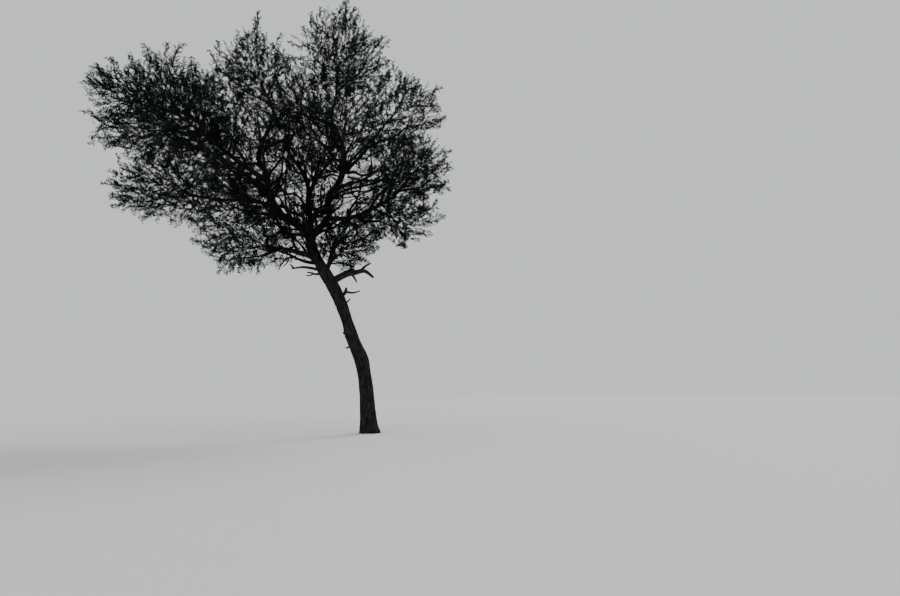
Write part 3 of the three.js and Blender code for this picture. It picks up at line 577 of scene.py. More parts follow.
def spread_fine(growth, index, rng):
    """Many more points in a mass, spread the same way, in an outline that is ragged and may narrow."""
    name, reach = MASSES[index][0], MASS_REACH[index]
    fullness = FULLNESS.get(name, 1)
    count = round(4 / 3 * math.pi * reach.prod() * FINE["per_cubic_metre"] * fullness)
    ball = unit(rng.normal(size=(count * CANDIDATES, 3)))
    share = between((FINE["inner"], FINE["outer"]), np.cbrt(rng.random(len(ball))))
    place = ball * RAGGED["scale"] + (index * 9.1, 0, 0)
    ragged = np.array([noise.noise(Vector(at)) for at in place])
    share *= 1 - RAGGED["depth"] * np.clip(0.5 + ragged, 0, 1) - TRIMMED.get(name, 0)
    ball *= share[:, None]
    ball[:, :2] *= 1 - NARROWING.get(name, 0) * np.clip(ball[:, 2:], 0, 1)
    points = MASS_AT[index] + ball * reach
    good = in_own_space(index, points) & growth.clear(points, FOLIAGE_CLEAR)
    return thinned(points, good, count)


def join(growth, points, clearance, first=0, flow_weight=0.0):
    """Joins the points, nearest first, each to the twig that gives a short piece, a short way home and a
    soft turn. None joins a twig before the first. With a flow weight, pieces run outwards from the fork."""
    size = len(growth.at)
    room = size + len(points)
    at, heading, way = np.zeros((room, 3)), np.zeros((room, 3)), np.zeros(room)
    at[:size], heading[:size], way[:size] = growth.at, growth.heading, growth.way
    points = np.array(points)
    home = np.min([np.linalg.norm(points - root, axis=1) for root in at[first:size]], axis=0)
    for point in points[np.argsort(home)]:
        towards = point - at[first:size]
        length = np.linalg.norm(towards, axis=1)
        towards /= length[:, None]
        turn = 1 - (towards * heading[first:size]).sum(axis=1)
        stray = 1 - towards @ unit(point - FLOW_FROM)
        weight = 1 + JOIN["turn_weight"] * turn + flow_weight * stray
        cost = length * weight + JOIN["path_weight"] * way[first:size]
        for k in np.argsort(cost)[:JOIN["choices"]]:
            if growth.fits(at[k + first], point, clearance):
                at[size] = point
                heading[size] = towards[k]
                way[size] = way[k + first] + length[k]
                growth.add(point, towards[k], way[size], int(k) + first)
                size += 1
                break


def runs_of(growth, radius):
    """Runs of twig from a fork to a tip. Each follows the thickest child, and the others start runs."""
    children = [[] for _ in growth.at]
    for child, parent in enumerate(growth.parent):
        if parent >= 0:
            children[parent].append(child)
    for brood in children:
        brood.sort(key=lambda child: -radius[child])
    starts = [(k, first) for k, parent in enumerate(growth.parent) if parent < 0 for first in children[k]]
    runs = []
    while starts:
        fork, at = starts.pop()
        run = [fork, at]
        while children[at]:
            starts += [(at, side) for side in children[at][1:]]
            at = children[at][0]
            run.append(at)
        runs.append(run)
    return runs


def thicknesses(growth, tip, power):
    """A twig is as thick as all that it carries asks for, worked out from the tips down."""
    carried = np.zeros(len(growth.at))
    radius = np.zeros(len(growth.at))
    for k in range(len(growth.at) - 1, -1, -1):
        radius[k] = max(tip, growth.least[k], carried[k] ** (1 / power))
        if growth.parent[k] >= 0:
            carried[growth.parent[k]] += radius[k] ** power
    return radius


def divide_coarse(growth):
    """Bends the coarse twigs into smooth curves and divides them, so that finer ones can leave anywhere."""
    waiting = runs_of(growth, thicknesses(growth, **COARSE_RADIUS))
    old_at = growth.at
    new_index = {0: 0}
    growth.at, growth.heading, growth.way, growth.parent, growth.least = (
        [old_at[0]], [growth.heading[0]], [0.0], [-1], [TIP_RADIUS])
    while waiting:
        ready = [run for run in waiting if run[0] in new_index]
        waiting = [run for run in waiting if run[0] not in new_index]
        for run in ready:
            dense = spline([old_at[k] for k in run], COARSE_SPANS)
            for k in range(len(run) - 1):
                first = k * COARSE_SPANS
                course = Course(dense[first:first + COARSE_SPANS + 1])
                new_index[run[k + 1]] = growth.add_course(course, (TIP_RADIUS, TIP_RADIUS), new_index[run[k]])


# Meshes are gathered as lists of (vertices, triangles) and joined.
@functools.cache
def tube_faces(rings, sides):
    """Triangles of a closed tube whose last ring is drawn into one point."""
    ring = np.arange(sides)
    after = (ring + 1) % sides
    faces = []
    for k in range(rings - 2):
        low, high = k * sides, (k + 1) * sides
        faces.append(np.stack([low + ring, low + after, high + after], axis=1))
        faces.append(np.stack([low + ring, high + after, high + ring], axis=1))
    low = (rings - 2) * sides
    tip = np.full(sides, (rings - 1) * sides)
    faces.append(np.stack([low + ring, low + after, tip], axis=1))
    foot = ring[1:-1]
    faces.append(np.stack([np.zeros_like(foot), foot + 1, foot], axis=1))
    return np.vstack(faces)


def tube(points, radii, sides):
    """A closed tube through points, drawn out to a point at its end."""
    along = unit(np.gradient(points, axis=0))
    least = np.linalg.svd(along.T @ along)[2][-1]
    u = unit(least - (along @ least)[:, None] * along)
    v = np.cross(along, u)
    angle = np.arange(sides) * 2 * math.pi / sides
    spoke = u[:, None] * np.cos(angle)[:, None] + v[:, None] * np.sin(angle)[:, None]
    rings = points[:-1, None] + spoke[:-1] * radii[:-1, None, None]
    return np.vstack([rings.reshape(-1, 3), points[-1:]]), tube_faces(len(points), sides)


def joined(parts):
    starts = np.cumsum([0, *(len(vertices) for vertices, faces in parts[:-1])])
    vertices = np.vstack([vertices for vertices, faces in parts])
    faces = np.vstack([faces + start for (_, faces), start in zip(parts, starts)])
    return vertices, faces


def new_object(name, data):
    thing = bpy.data.objects.new(name, data)
    bpy.context.scene.collection.objects.link(thing)
    return thing


def mesh_object(name, vertices, faces, material, smooth_shaded=True):
    mesh = bpy.data.meshes.new(name)
    mesh.from_pydata(vertices, [], faces)
    mesh.polygons.foreach_set("use_smooth", np.full(len(mesh.polygons), smooth_shaded))
    if material:
        mesh.materials.append(material)
    return new_object(name, mesh)


def add_leaves(leaves, line, colour, rng, start=0.0):
    """Small bunches of leaves at the nodes of a line of points, the last at its tip."""
    course = Course(line)
    count = max(1, round(course.length * (1 - start) / LEAF_SPACING))
    shares = start + (1 - start) * np.arange(1, count + 1) / count
    shares = np.repeat(shares, LEAVES_AT_NODE)
    total = len(shares)
    around = np.arange(total) * GOLDEN_ANGLE + rng.uniform(0, LEAF_TURN, total)
    spread = rng.uniform(*LEAF_SPREAD, total)
    spread[-1] = TIP_LEAF_SPREAD
    leaves.append((course.at(shares), course.heading(shares), around, spread, np.full(total, colour)))


def leaf_meshes(leaves, rng):
    """For each colour, all its leaves as vertices and faces."""
    at, along, around, spread, colour = map(np.concatenate, zip(*leaves))
    across = unit(np.cross(along, NEARLY_UP))
    above = np.cross(across, along)
    radial = across * np.cos(around)[:, None] + above * np.sin(around)[:, None]
    angle = spread[:, None]
    direction = unit(along * np.cos(angle) + radial * np.sin(angle) + UP * LEAF_RISE)
    side = unit(np.cross(UP + rng.normal(size=at.shape) * LEAF_ROLL, direction))
    normal = np.cross(direction, side)
    length = rng.uniform(*LEAF_LENGTH, (len(at), 1))
    x, y = np.array(LEAF_OUTLINE).T
    lift = LEAF_BEND["up"] * np.abs(y) - LEAF_BEND["down"] * x**2
    local = (x[None, :, None] * direction[:, None] + y[None, :, None] * side[:, None]
             + lift[None, :, None] * normal[:, None])
    vertices = at[:, None] + local * length[:, None, :]
    faces = np.array(LEAF_FACES)
    meshes = {}
    for k in np.unique(colour):
        mine = vertices[colour == k]
        offsets = (np.arange(len(mine)) * len(x))[:, None, None]
        meshes[int(k)] = (mine.reshape(-1, 3), (faces[None] + offsets).reshape(-1, 3))
    return meshes


LEAF_COLOURS = [
    ("deep", (0.0028, 0.0074, 0.0072), 0.28),
    ("dull", (0.0042, 0.0096, 0.0090), 0.26),
    ("green", (0.0060, 0.0135, 0.0105), 0.22),
    ("olive", (0.0095, 0.0150, 0.0105), 0.16),
    ("dry", (0.0135, 0.0140, 0.0105), 0.08),
]
COLOUR_SHARES = np.cumsum([share for name, colour, share in LEAF_COLOURS])


def draw_colour(rng):
    return int(np.searchsorted(COLOUR_SHARES, rng.random() * COLOUR_SHARES[-1]))


def spray_line(growth, at, heading, rng):
    """A spray's stem from a twig's end, or a longer shoot near the crown's edge: out of a few that keep to
    the crown and clear of the limbs."""
    shares = shares_of_reach(at[None])[0]
    nearest = int(shares.argmin())
    outward = unit((at - MASS_AT[nearest]) / MASS_REACH[nearest]) + unit(at - FLOW_FROM) * SPRAY["outwards"]
    is_shoot = shares[nearest] > SHOOT["share"] and rng.random() < SHOOT["chance"]
    if is_shoot:
        length = rng.uniform(*SHOOT["length"])
        limit = SHOOT["limit"] - TRIMMED.get(MASSES[nearest][0], 0)
        rise = SPRAY["rise"] + SHOOT["rise"] * max(0.0, outward[2])
    else:
        length = rng.uniform(*SPRAY["length"])
        limit = max(1.0, shares[nearest] + SPRAY["past"])
        rise = SPRAY["rise"]
    for k in range(SPRAY["tries"]):
        stray = (rng.random(3) - 0.5) * SPRAY["stray"]
        towards = unit(unit(heading + outward) + stray + UP * rise)
        reach = length * (1 - SPRAY["shortening"] * k)
        bend = rng.normal(size=3) * SPRAY["bend"] * reach
        line = np.array([at, at + towards * reach * 0.5 + bend, at + towards * reach])
        if not is_shoot:
            line = line[::2]
        if shares_of_reach(line[1:]).min(axis=1).max() > limit or not in_box(line):
            continue
        if growth.clear(line[1:], FINE_CLEAR).all():
            return line, is_shoot
    return None, False


def leafless_share(at, elsewhere):
    """The share of twigs that are bare at a place."""
    shares = [elsewhere]
    for clearing in CLEARINGS:
        outward = np.linalg.norm((at - clearing["at"]) / clearing["reach"])
        shares.append(clearing["leafless"] * (1 - outward**4))
    return max(shares)


def twig_meshes(growth, twigs, leaves, rng, leafless=0.0):
    """Every run of twig as a tube that is drawn out into a spray, with leaves on its thin parts."""
    radius = thicknesses(growth, **TWIG_RADIUS)
    places = np.array(growth.at)
    for run in runs_of(growth, radius):
        colour = draw_colour(rng)
        line = places[run]
        thick = radius[run]
        thick[0] = min(thick[0], thick[1] * TWIG_WIDENING)
        end, is_shoot = spray_line(growth, line[-1], growth.heading[run[-1]], rng)
        curve = spline(line, 2 if thick[0] > CURVED_ABOVE else 1)
        curve_thick = np.interp(np.linspace(0, 1, len(curve)), np.linspace(0, 1, len(line)), thick)
        is_bare = rng.random() < leafless_share(line[-1], leafless)
        if end is not None:
            if not is_bare:
                add_leaves(leaves, end, colour, rng)
            if is_shoot:
                side_twigs(Course(end), SHOOT["twig_length"], colour, twigs, leaves, rng)
            curve = np.vstack([curve, end[1:]])
            curve_thick = np.append(curve_thick, np.full(len(end) - 1, SPRAY_RADIUS))
        twigs.append(tube(curve, curve_thick, next(sides for least, sides in TWIG_SIDES if thick[0] > least)))
        thin = [k for k in run[1:] if radius[k] < LEAFY_BELOW]
        if len(thin) > 1 and not is_bare:
            add_leaves(leaves, places[thin], colour, rng)


def side_twigs(course, lengths, colour, twigs, leaves, rng):
    """Short leafy twigs all along a shoot, shorter towards its tip."""
    for share in np.arange(SHOOT_TWIGS["from"], SHOOT_TWIGS["to"], SHOOT_TWIGS["spacing"] / course.length):
        at = course.at(share)
        away = unit(np.cross(course.heading(share), rng.normal(size=3)))
        length = between(lengths, share) * rng.uniform(*SHOOT_TWIGS["size"])
        end = at + unit(course.heading(share) * SHOOT_TWIGS["onwards"] + away) * length
        twig = np.array([at, (at + end) / 2 + rng.normal(size=3) * SHOOT_TWIGS["bend"], end])
        if in_box(twig):
            twigs.append(tube(twig, np.full(3, SHOOT_TWIG_RADIUS), 3))
            add_leaves(leaves, twig, colour, rng)


def shoot_to(growth, index, tip, twigs, leaves, rng):
    """One of the solids' long shoots, from a twig farther in to its tip, with short leafy side twigs."""
    tip = np.array(tip, float)
    inwards = MASS_AT[index] - tip
    aim = tip + inwards * min(LONG_SHOOT["most"], LONG_SHOOT["length"] / np.linalg.norm(inwards))
    places = np.array(growth.at)
    for k in np.argsort(np.linalg.norm(places - aim, axis=1)):
        if growth.parent[k] >= 0 and growth.clear(np.linspace(places[k], tip, 12)[1:], FINE_CLEAR).all():
            break
    start = places[k]
    way = tip - start
    bends = rng.normal(size=(2, 3)) * LONG_SHOOT["bend"] * np.linalg.norm(way)
    passed = [start + way * share + bend for share, bend in zip(LONG_SHOOT["passed"], bends)]
    line = spline([start, *passed, tip], 4)
    colour = draw_colour(rng)
    twigs.append(tube(line, np.linspace(LONG_SHOOT["radius"], SHOOT_TWIG_RADIUS, len(line)), 4))
    add_leaves(leaves, line, colour, rng, LONG_SHOOT["leafy_from"])
    side_twigs(Course(line), LONG_SHOOT["twig_length"], colour, twigs, leaves, rng)


def grow_mass(index, twigs, leaves):
    name, *_, shoots = MASSES[index]
    rng = np.random.default_rng(1000 + index)
    near = np.all(np.abs(LIMB_AT - MASS_AT[index]) < MASS_REACH[index] + NEAR_MARGIN, axis=1)
    own_space = functools.partial(in_own_space, index)
    growth = Growth(LIMB_AT[near], LIMB_RADIUS[near], own_space)
    bough = limbs[BOUGH_OF[name]]["course"]
    heading = bough.heading(1.0)
    foot = bough.at(1.0) + heading * GAP
    growth.add(foot, heading, 0.0, -1)
    growth.add(foot + heading * STEM_LENGTH, heading, STEM_LENGTH, 0)
    join(growth, spread_coarse(growth, index, seeded(index + 1)), FOLIAGE_CLEAR, first=1)
    divide_coarse(growth)
    main = [limb for limb in limbs if limb.startswith("limb_")]
    growth.add_limb_roots([*main, BOUGH_OF[name]], own_space)
    join(growth, spread_fine(growth, index, rng), FINE_CLEAR, first=1, flow_weight=FLOW_WEIGHT)
    twig_meshes(growth, twigs, leaves, rng)
    for tip in shoots:
        shoot_to(growth, index, tip, twigs, leaves, rng)


def in_crown(points, limit=SIDE_LIMIT):
    """True for the points near a mass, as deep as the whole crown, or in the crown's heart."""
    shares = np.linalg.norm((points[:, None] - MASS_AT) / (MASS_REACH * SIDE_STRETCH), axis=2).min(axis=1)
    near_heart = np.linalg.norm((points - HEART["at"]) / HEART["reach"], axis=1) < 1
    near_mass = (shares < limit) & (np.abs(points[:, 1]) < SIDE_DEPTH)
    return (near_heart | near_mass) & np.all((points > BOX_LOW) & (points < BOX_HIGH), axis=1)


def side_bough(growth, start, heading, angle, kind, rng):
    """A sinuous bough that leaves a limb sideways and bends outwards and up, or None where it has no room."""
    across = unit(np.cross(heading, (0.1, 0.2, 1.0)))
    radial = across * math.cos(angle) + np.cross(heading, across) * math.sin(angle)
    leave = unit(heading * SIDE_COURSE["onwards"] + radial)
    outwards = unit(start - FLOW_FROM) * SIDE_COURSE["outwards"]
    settle = unit(leave + outwards + UP * SIDE_COURSE["rise"])
    length = rng.uniform(*SIDE_LENGTH[kind])
    count = max(3, round(length / SIDE_COURSE["step"]))
    points = [start]
    for k in range(count):
        towards = unit(leave + (settle - leave) * k / (count - 1))
        sway = rng.normal(size=3) * SIDE_COURSE["sway"]
        points.append(points[-1] + towards * length / count + sway)
    course = smooth(points)
    probe = course.at(np.linspace(0.25, 1, 9))
    if in_crown(probe, SIDE_BOUGH_LIMIT).all() and growth.clear(probe, FINE_CLEAR).all():
        return course
    return None


def grow_inside(twigs, leaves):
    """Side boughs from the limbs all round, and the twigs on them, which fill the inner crown."""
    rng = np.random.default_rng(500)
    growth = Growth(LIMB_AT, LIMB_RADIUS, in_crown)
    length = 0
    for radii, points in INNER_BOUGHS:
        course = smooth(points)
        root = growth.add(course.at(0), course.heading(0), LIMB_WAY, -1)
        growth.add_course(course, radii, root)
        length += course.length
    for name, limb in limbs.items():
        kind = name[:name.find("_") + 1] or name
        if kind not in SIDE_SPACING:
            continue
        course = limb["course"]
        angle = rng.uniform(0, 2 * math.pi)
        for share in np.arange(SIDE_FROM[kind], SIDE_TO, SIDE_SPACING[kind] / course.length):
            start, heading = course.at(share), course.heading(share)
            for _ in range(SIDE_TRIES):
                angle += GOLDEN_ANGLE
                side = side_bough(growth, start, heading, angle, kind, rng)
                if side:
                    root = growth.add(start, heading, LIMB_WAY, -1)
                    growth.add_course(side, SIDE_RADII[kind], root)
                    length += side.length
                    break
    count = round(length * SIDE_TWIGS["per_metre"])
    boughs = np.array(growth.at)
    middle = boughs[rng.integers(0, len(boughs), count * CANDIDATES)]
    points = middle + unit(rng.normal(size=middle.shape)) * SIDE_TWIGS["reach"] * rng.random((len(middle), 1))
    good = in_crown(points) & growth.clear(points, FOLIAGE_CLEAR)
    places = [thinned(points, good, count)]
    for middle, reach, per_cubic_metre in BETWEEN:
        count = round(4 / 3 * math.pi * float(np.prod(reach)) * per_cubic_metre)
        ball = unit(rng.normal(size=(count * CANDIDATES, 3))) * np.cbrt(rng.random((count * CANDIDATES, 1)))
        points = np.array(middle) + ball * reach
        places.append(thinned(points, growth.clear(points, FOLIAGE_CLEAR), count))
    join(growth, np.vstack(places), FINE_CLEAR, flow_weight=FLOW_WEIGHT)
    twig_meshes(growth, twigs, leaves, rng, SIDE_TWIGS["leafless"])


def new_material(name, roughness, gloss):
    material = bpy.data.materials.new(name)
    material.use_nodes = True
    shader = material.node_tree.nodes["Principled BSDF"]
    shader.inputs["Roughness"].default_value = roughness
    shader.inputs["Specular IOR Level"].default_value = gloss
    return material, shader


def noise_of(tree, place, scale, detail):
    texture = tree.nodes.new("ShaderNodeTexNoise")
    texture.inputs["Scale"].default_value = scale
    texture.inputs["Detail"].default_value = detail
    tree.links.new(place, texture.inputs["Vector"])
    return texture.outputs["Fac"]


def colours_of(tree, value, stops):
    """Colours that go with a value, given as two rows of a position and a colour."""
    ramp = tree.nodes.new("ShaderNodeValToRGB")
    for element, (position, colour) in zip(ramp.color_ramp.elements, stops):
        element.position = position
        element.color = (*colour, 1)
    tree.links.new(value, ramp.inputs["Fac"])
    return ramp.outputs["Color"]


def mottled_material(name, colour, roughness):
    """A dull surface whose colour goes a little lighter and darker from place to place."""
    material, shader = new_material(name, roughness, 0.04)
    shader.inputs["Base Color"].default_value = (*colour, 1)
    tree = material.node_tree
    place = tree.nodes.new("ShaderNodeTexCoord").outputs["Object"]
    patches = noise_of(tree, place, 2.6, 3)
    stops = [(at, [channel * strength for channel in colour]) for at, strength in ((0.35, 0.7), (0.65, 1.35))]
    tree.links.new(colours_of(tree, patches, stops), shader.inputs["Base Color"])
    return material


def bark_material(name, light, dark, furrow_shade_colour, scale):
    """Bark with paler plates, furrows darkened with painted shade, and a fine rough grain."""
    material, shader = new_material(name, 0.93, 0.05)
    tree = material.node_tree
    nodes, links = tree.nodes, tree.links
    stretch = nodes.new("ShaderNodeMapping")
    stretch.inputs["Scale"].default_value = (1, 1, 0.35)
    links.new(nodes.new("ShaderNodeTexCoord").outputs["Object"], stretch.inputs["Vector"])
    patches = noise_of(tree, stretch.outputs["Vector"], scale, 6)
    grain = noise_of(tree, stretch.outputs["Vector"], scale * 9, 5)
    # Painted shade: the colour is darkened towards the furrow colour as deep as each point lies in a furrow.
    furrow = nodes.new("ShaderNodeAttribute")
    furrow.attribute_name = "furrow"
    furrow_shading = nodes.new("ShaderNodeMix")
    furrow_shading.data_type = "RGBA"
    furrow_shading.inputs["B"].default_value = (*furrow_shade_colour, 1)
    links.new(furrow.outputs["Fac"], furrow_shading.inputs["Factor"])
    links.new(colours_of(tree, patches, [(0.34, dark), (0.68, light)]), furrow_shading.inputs["A"])
    links.new(furrow_shading.outputs["Result"], shader.inputs["Base Color"])
    bump = nodes.new("ShaderNodeBump")
    bump.inputs["Strength"].default_value = 0.6
    bump.inputs["Distance"].default_value = 0.012
    links.new(grain, bump.inputs["Height"])
    links.new(bump.outputs["Normal"], shader.inputs["Normal"])
    return material


# Bark: every limb's tube, merged into one skin, with furrows along the limbs.
BARK_VOXEL = 0.018
DEAD_WOOD_VOXEL = 0.010
BARK_STEP = 0.05
FINE_BARK_STEP = 0.03
BOUGH_STEP = 0.045
TRUNK_SIDES = 40
FOOT_DEPTH = 0.2  # below the ground, where the skin is then cut off flat
# How much thicker the photo shows the trunk and some limbs than the solids are: the trunk all along, and
# more so between these heights up to the fork.
TRUNK_SWELL = {"all": 1.06, "heights": (5.2, 6.2), "fork": 0.14}
LIMB_SWELL = {"limb_under_left": 1.6, "limb_right_low": 1.1}
LIMB_FOOT = {"reach": 2.2, "widening": 0.22}
COLLAR = {"length": 0.42, "most": 0.8, "width": (1.55, 0.82)}
PLATE = {"size": 0.36, "limits": (0.02, 0.07), "along": 3.6}
GROOVES = ((1, 0.17, 0.75), (2.3, 0.2, 0.35))  # wide and narrow ones: fineness, width and depth
BARK_RELIEF = {"relief": 0.075, "most": 0.014}
DEAD_WOOD_RELIEF = {"relief": 0.10, "most": 0.006}
BOUGH_RELIEF = 0.07
RELIEF_LEVEL = 0.35  # how deep a furrow is where the skin stays as it was


def bough_limbs():
    return [limb for name, limb in limbs.items() if name.startswith("bough_")]


def ring_frames(course, shares):
    at = course.at(shares)
    along = course.heading(shares)
    axis = np.eye(3)[2 - int(np.argmin(np.abs(along[0])[::-1]))]
    normal = np.cross(along[0], unit(np.cross(along[0], axis)))
    normals = [normal]
    for heading in along[1:]:
        normals.append(unit(normals[-1] - heading * (normals[-1] @ heading)))
    normals = np.array(normals)
    return at, along, normals, np.cross(along, normals)


def trunk_radius(z, angle):
    heights = np.array([at[2] for at, radius in TRUNK_STATIONS], float)
    sizes = np.array([radius for at, radius in TRUNK_STATIONS])
    k = np.clip(np.searchsorted(heights, z, side="right"), 1, len(heights) - 1)
    t = np.clip((z - heights[k - 1]) / (heights[k] - heights[k - 1]), 0, 1)
    radius = sizes[k - 1] + (sizes[k] - sizes[k - 1]) * t * t * (3 - 2 * t)
    low, high = TRUNK_SWELL["heights"]
    near_fork = np.clip((z - low) / (high - low), 0, 1)
    radius = radius * (TRUNK_SWELL["all"] + TRUNK_SWELL["fork"] * near_fork)
    lobe = 1 + np.cos(ROOT_FLARE["lobes"] * (math.pi / 2 - angle + ROOT_FLARE["turn"]))
    flare = np.exp(-np.maximum(z, 0) / ROOT_FLARE["height"])
    return radius * (1 + ROOT_FLARE["depth"] * flare * lobe)


def limb_tube(course, radius_at, step, shares=(0, 1), sides=16):
    """A closed tube between two shares of a course."""
    count = max(3, round(course.length * (shares[1] - shares[0]) / step))
    along_shares = np.linspace(*shares, count + 1)
    at, along, normal, binormal = ring_frames(course, along_shares)
    angle = np.arange(sides) * 2 * math.pi / sides
    radius = radius_at(along_shares[:, None], at[:, None, 2], angle[None])
    radius = np.broadcast_to(radius, (count + 1, sides))
    spoke = normal[:, None] * np.cos(angle)[:, None] + binormal[:, None] * np.sin(angle)[:, None]
    rings = at[:, None] + spoke * radius[:, :, None]
    tip = at[-1] + along[-1] * radius[-1].mean() * 0.5
    return np.vstack([rings.reshape(-1, 3), tip]), tube_faces(count + 2, sides)


def collar_end(limb):
    return min(COLLAR["most"], COLLAR["length"] / limb["course"].length)


def bark_base():
    """The trunk, the main limbs and a collar for every bough, as closed tubes that overlap."""
    trunk = limbs["trunk"]["course"]
    vertices, faces = limb_tube(trunk, lambda s, z, a: trunk_radius(z, a), BARK_STEP, sides=TRUNK_SIDES)
    vertices[:TRUNK_SIDES, 2] = 0
    foot = vertices[:TRUNK_SIDES] - (0, 0, FOOT_DEPTH)
    parts = [(np.vstack([foot, vertices]), tube_faces(len(vertices) // TRUNK_SIDES + 2, TRUNK_SIDES))]
    for name, *_ in MAIN_LIMBS:
        course, radii = limbs[name]["course"], limbs[name]["radii"]

        def swelling(s, z, a):
            foot = np.exp(-s * course.length / (LIMB_FOOT["reach"] * radii[0]))
            return between(radii, s) * (LIMB_SWELL.get(name, 1) + LIMB_FOOT["widening"] * foot)

        parts.append(limb_tube(course, swelling, BARK_STEP))
    for limb in bough_limbs():
        end = collar_end(limb)

        def collar(s, z, a):
            return limb["radii"][0] * between(COLLAR["width"], np.sqrt(s / end))

        parts.append(limb_tube(limb["course"], collar, FINE_BARK_STEP, (0, end)))
    return joined(parts)


def merged_skin(name, vertices, faces, voxel, passes):
    """One skin round overlapping tubes, with the forks rounded."""
    thing = mesh_object(name, vertices, faces, None)
    remesh = thing.modifiers.new("merge", "REMESH")
    remesh.mode = "VOXEL"
    remesh.voxel_size = voxel
    soften = thing.modifiers.new("soften", "SMOOTH")
    soften.factor = 0.5
    soften.iterations = passes
    evaluated = thing.evaluated_get(bpy.context.evaluated_depsgraph_get())
    mesh = bpy.data.meshes.new_from_object(evaluated)
    thing.modifiers.clear()
    old, thing.data = thing.data, mesh
    bpy.data.meshes.remove(old)
    return thing


def limb_coordinates(points, names):
    """For each point the angle round its nearest limb, the length along it and the limb's radius."""
    rows = []
    for name in names:
        limb = limbs[name]
        rings = ring_frames(limb["course"], limb["shares"])
        radius = trunk_radius(rings[0][:, 2], ROOT_FLARE["turn"]) if name == "trunk" else limb["radius"]
        rows.append((*rings, radius, limb["shares"] * limb["course"].length))
    centres, along, normal, binormal, radius, way = map(np.concatenate, zip(*rows))
    nearest = []
    for part in np.array_split(points, math.ceil(len(points) / 4000)):
        gaps = np.linalg.norm(part[:, None] - centres, axis=2) - radius
        nearest.append(gaps.argmin(axis=1))
    nearest = np.concatenate(nearest)
    offset = points - centres[nearest]
    x = (offset * normal[nearest]).sum(axis=1)
    y = (offset * binormal[nearest]).sum(axis=1)
    length = way[nearest] + (offset * along[nearest]).sum(axis=1)
    return np.arctan2(y, x), length, radius[nearest]


def furrows(angle, length, radius, seed):
    """How deep in a furrow each point lies, from 0 to 1. Furrows run along the limb and join here and
    there."""
    across = radius / np.clip(PLATE["size"] * radius, *PLATE["limits"])
    x, y = across * np.cos(angle) + seed, across * np.sin(angle)
    places = np.stack([x, y, length * PLATE["along"]], axis=1)
    deep = 0
    for fineness, width, depth in GROOVES:
        height = np.array([noise.noise(Vector(place)) for place in places * fineness])
        deep = deep + np.exp(-(height / width) ** 2) * depth
    return np.minimum(deep, 1)


def vertex_rows(mesh, kind):
    rows = np.empty(len(mesh.vertices) * 3, np.float32)
    mesh.vertices.foreach_get(kind, rows)
    return rows.reshape(-1, 3).astype(float)


def keep_furrow_shade(mesh, deep):
    """Keeps how deep in a furrow each point lies, for the painted shade that darkens its colour there."""
    mesh.attributes.new("furrow", "FLOAT", "POINT").data.foreach_set("value", deep.astype(np.float32))


def carve(mesh, names, seed, relief, most):
    """Sinks the furrows into a skin, by a share of the limb's radius and no deeper than the most."""
    points = vertex_rows(mesh, "co")
    angle, length, radius = limb_coordinates(points, names)
    deep = furrows(angle, length, radius, seed)
    depth = np.minimum(relief * radius, most)
    points += vertex_rows(mesh, "normal") * (depth * (RELIEF_LEVEL - deep))[:, None]
    mesh.vertices.foreach_set("co", points.astype(np.float32).ravel())
    keep_furrow_shade(mesh, deep)
    mesh.update()


def cut_flat(thing):
    """Cuts a skin off at the ground and closes it with a flat face."""
    edit = bmesh.new()
    edit.from_mesh(thing.data)
    everything = [*edit.verts, *edit.edges, *edit.faces]
    bmesh.ops.bisect_plane(edit, geom=everything, plane_co=(0, 0, 0), plane_no=(0, 0, 1), clear_inner=True)
    rim = [edge for edge in edit.edges if edge.is_boundary]
    filled = bmesh.ops.triangle_fill(edit, use_beauty=True, edges=rim, normal=(0, 0, -1))
    for item in filled["geom"]:
        if isinstance(item, bmesh.types.BMFace):
            item.smooth = False
    edit.to_mesh(thing.data)
    edit.free()


def bough_tubes():
    """The boughs past their collars, as tubes with the furrows worked in."""
    parts, deeps = [], []
    for k, limb in enumerate(bough_limbs()):
        course = limb["course"]

        def ridged(s, z, a):
            radius, length, angle = np.broadcast_arrays(between(limb["radii"], s), s * course.length, a)
            deep = furrows(angle.ravel(), length.ravel(), radius.ravel(), k * 7.3)
            deeps.append(np.append(deep, 0))
            return radius * (1 + BOUGH_RELIEF * (RELIEF_LEVEL - deep.reshape(radius.shape)))

        parts.append(limb_tube(course, ridged, BOUGH_STEP, (collar_end(limb) / 4, 1), sides=14))
    vertices, faces = joined(parts)
    return vertices, faces, np.concatenate(deeps)


def make_bark():
    # The furrow colour is painted shade, laid into the furrows that the skin is carved with.
    material = bark_material("bark", light=(0.036, 0.036, 0.033), dark=(0.019, 0.020, 0.0185),
                             furrow_shade_colour=(0.0065, 0.0065, 0.006), scale=7)
    names = ["trunk", *(limb[0] for limb in MAIN_LIMBS)]
    boughs = ["bough_" + mass[0] for mass in MASSES if mass[3]]
    skin = merged_skin("bark", *bark_base(), BARK_VOXEL, 3)
    carve(skin.data, [*names, *boughs], 3.1, **BARK_RELIEF)
    cut_flat(skin)
    skin.data.materials.append(material)
    vertices, faces, deep = bough_tubes()
    tubes = mesh_object("bark_boughs", vertices, faces, material)
    keep_furrow_shade(tubes.data, deep)
    for piece, nodes in ((skin, names), (tubes, boughs)):
        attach(piece, "root")
        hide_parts(*nodes)


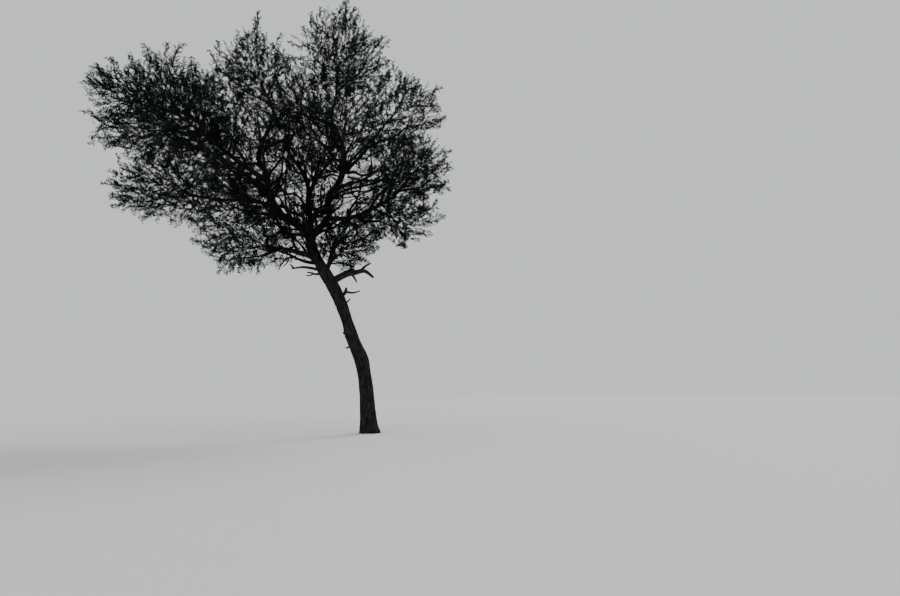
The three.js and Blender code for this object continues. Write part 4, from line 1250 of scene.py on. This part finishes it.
def make_dead_wood():
    parts, twigs = [], []
    for name, share, radii, through, sides in DEAD_WOOD:
        def swollen(s, z, a):
            middle = np.sin(math.pi * between(DEAD_SWELL_ARC, s)) ** 0.5
            return between(radii, s) * (1 + (DEAD_SWELL[name] - 1) * middle)

        parts.append(limb_tube(limbs[name]["course"], swollen, FINE_BARK_STEP))
        twigs += sides
    piece = merged_skin("dead_wood", *joined(parts), DEAD_WOOD_VOXEL, 2)
    carve(piece.data, [row[0] for row in DEAD_WOOD], 9.7, **DEAD_WOOD_RELIEF)
    thin = []
    for radii, points in [*twigs, *DEAD_TWIGS]:
        def thickened(s, z, a):
            return between(radii, s) * DEAD_TWIG_SWELL

        thin.append(limb_tube(smooth(points), thickened, FINE_BARK_STEP, sides=8))
    # The furrow colour is painted shade, laid into the furrows that the wood is carved with.
    material = bark_material("dead_wood", light=(0.046, 0.045, 0.041), dark=(0.026, 0.026, 0.024),
                             furrow_shade_colour=(0.010, 0.010, 0.0095), scale=14)
    piece.data.materials.append(material)
    branches = mesh_object("dead_twigs", *joined(thin), material)
    for thing in (piece, branches):
        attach(thing, "root")
        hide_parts(*(row[0] for row in DEAD_WOOD))


def part_of(x, parts):
    return next(name for name, edge in parts.items() if x < edge)


def make_foliage():
    twig_material = mottled_material("twigs", (0.011, 0.0115, 0.0105), 0.95)
    leaves = []
    groups = {name: [] for name in (*TWIG_PARTS, *INNER_TWIG_PARTS)}
    for index, x in enumerate(MASS_AT[:, 0]):
        grow_mass(index, groups[part_of(x, TWIG_PARTS)], leaves)
    inner = []
    grow_inside(inner, leaves)
    for vertices, faces in inner:
        groups[part_of(vertices[0, 0], INNER_TWIG_PARTS)].append((vertices, faces))
    nodes = ["foliage_" + mass[0] for mass in MASSES]
    for group, parts in groups.items():
        piece = mesh_object("twigs_" + group, *joined(parts), twig_material)
        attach(piece, "root")
        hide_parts(*nodes)
    for k, (vertices, faces) in leaf_meshes(leaves, np.random.default_rng(77)).items():
        name, colour, share = LEAF_COLOURS[k]
        piece = mesh_object("leaves_" + name, vertices, faces, mottled_material("leaf_" + name, colour, 0.85),
                            smooth_shaded=False)
        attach(piece, "root")
        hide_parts(*nodes)


def make_stage():
    """A pale floor that ends far behind the tree, a pale sky and a soft sun."""
    material, shader = new_material("floor", 0.9, 0.5)
    shader.inputs["Base Color"].default_value = (0.72, 0.71, 0.69, 1)
    corners = np.array([(-150, -60, 0), (150, -60, 0), (150, 400, 0), (-150, 400, 0)], float)
    floor = mesh_object("floor", corners, [(0, 1, 2, 3)], material)
    world = bpy.data.worlds.new("studio")
    world.use_nodes = True
    world.node_tree.nodes["Background"].inputs["Color"].default_value = (0.84, 0.86, 0.88, 1)
    world.node_tree.nodes["Background"].inputs["Strength"].default_value = 0.9
    bpy.context.scene.world = world
    sun = bpy.data.lights.new("soft_sun", "SUN")
    sun.energy = 1.6
    sun.angle = math.radians(25)
    lamp = new_object("soft_sun", sun)
    lamp.rotation_euler = (math.radians(-48), math.radians(28), 0)


def make_camera():
    """A camera where the photo was taken from: at eye height, tilted up a little."""
    data = bpy.data.cameras.new("camera")
    data.lens = 28
    data.sensor_width = 36
    data.clip_end = 1000
    camera = new_object("camera", data)
    camera.location = (2.42, -21.4, 1.227)
    camera.rotation_euler = (math.radians(90 + 7.65), 0, 0)
    bpy.context.scene.camera = camera


make_camera()
make_stage()
make_bark()
make_dead_wood()
make_foliage()
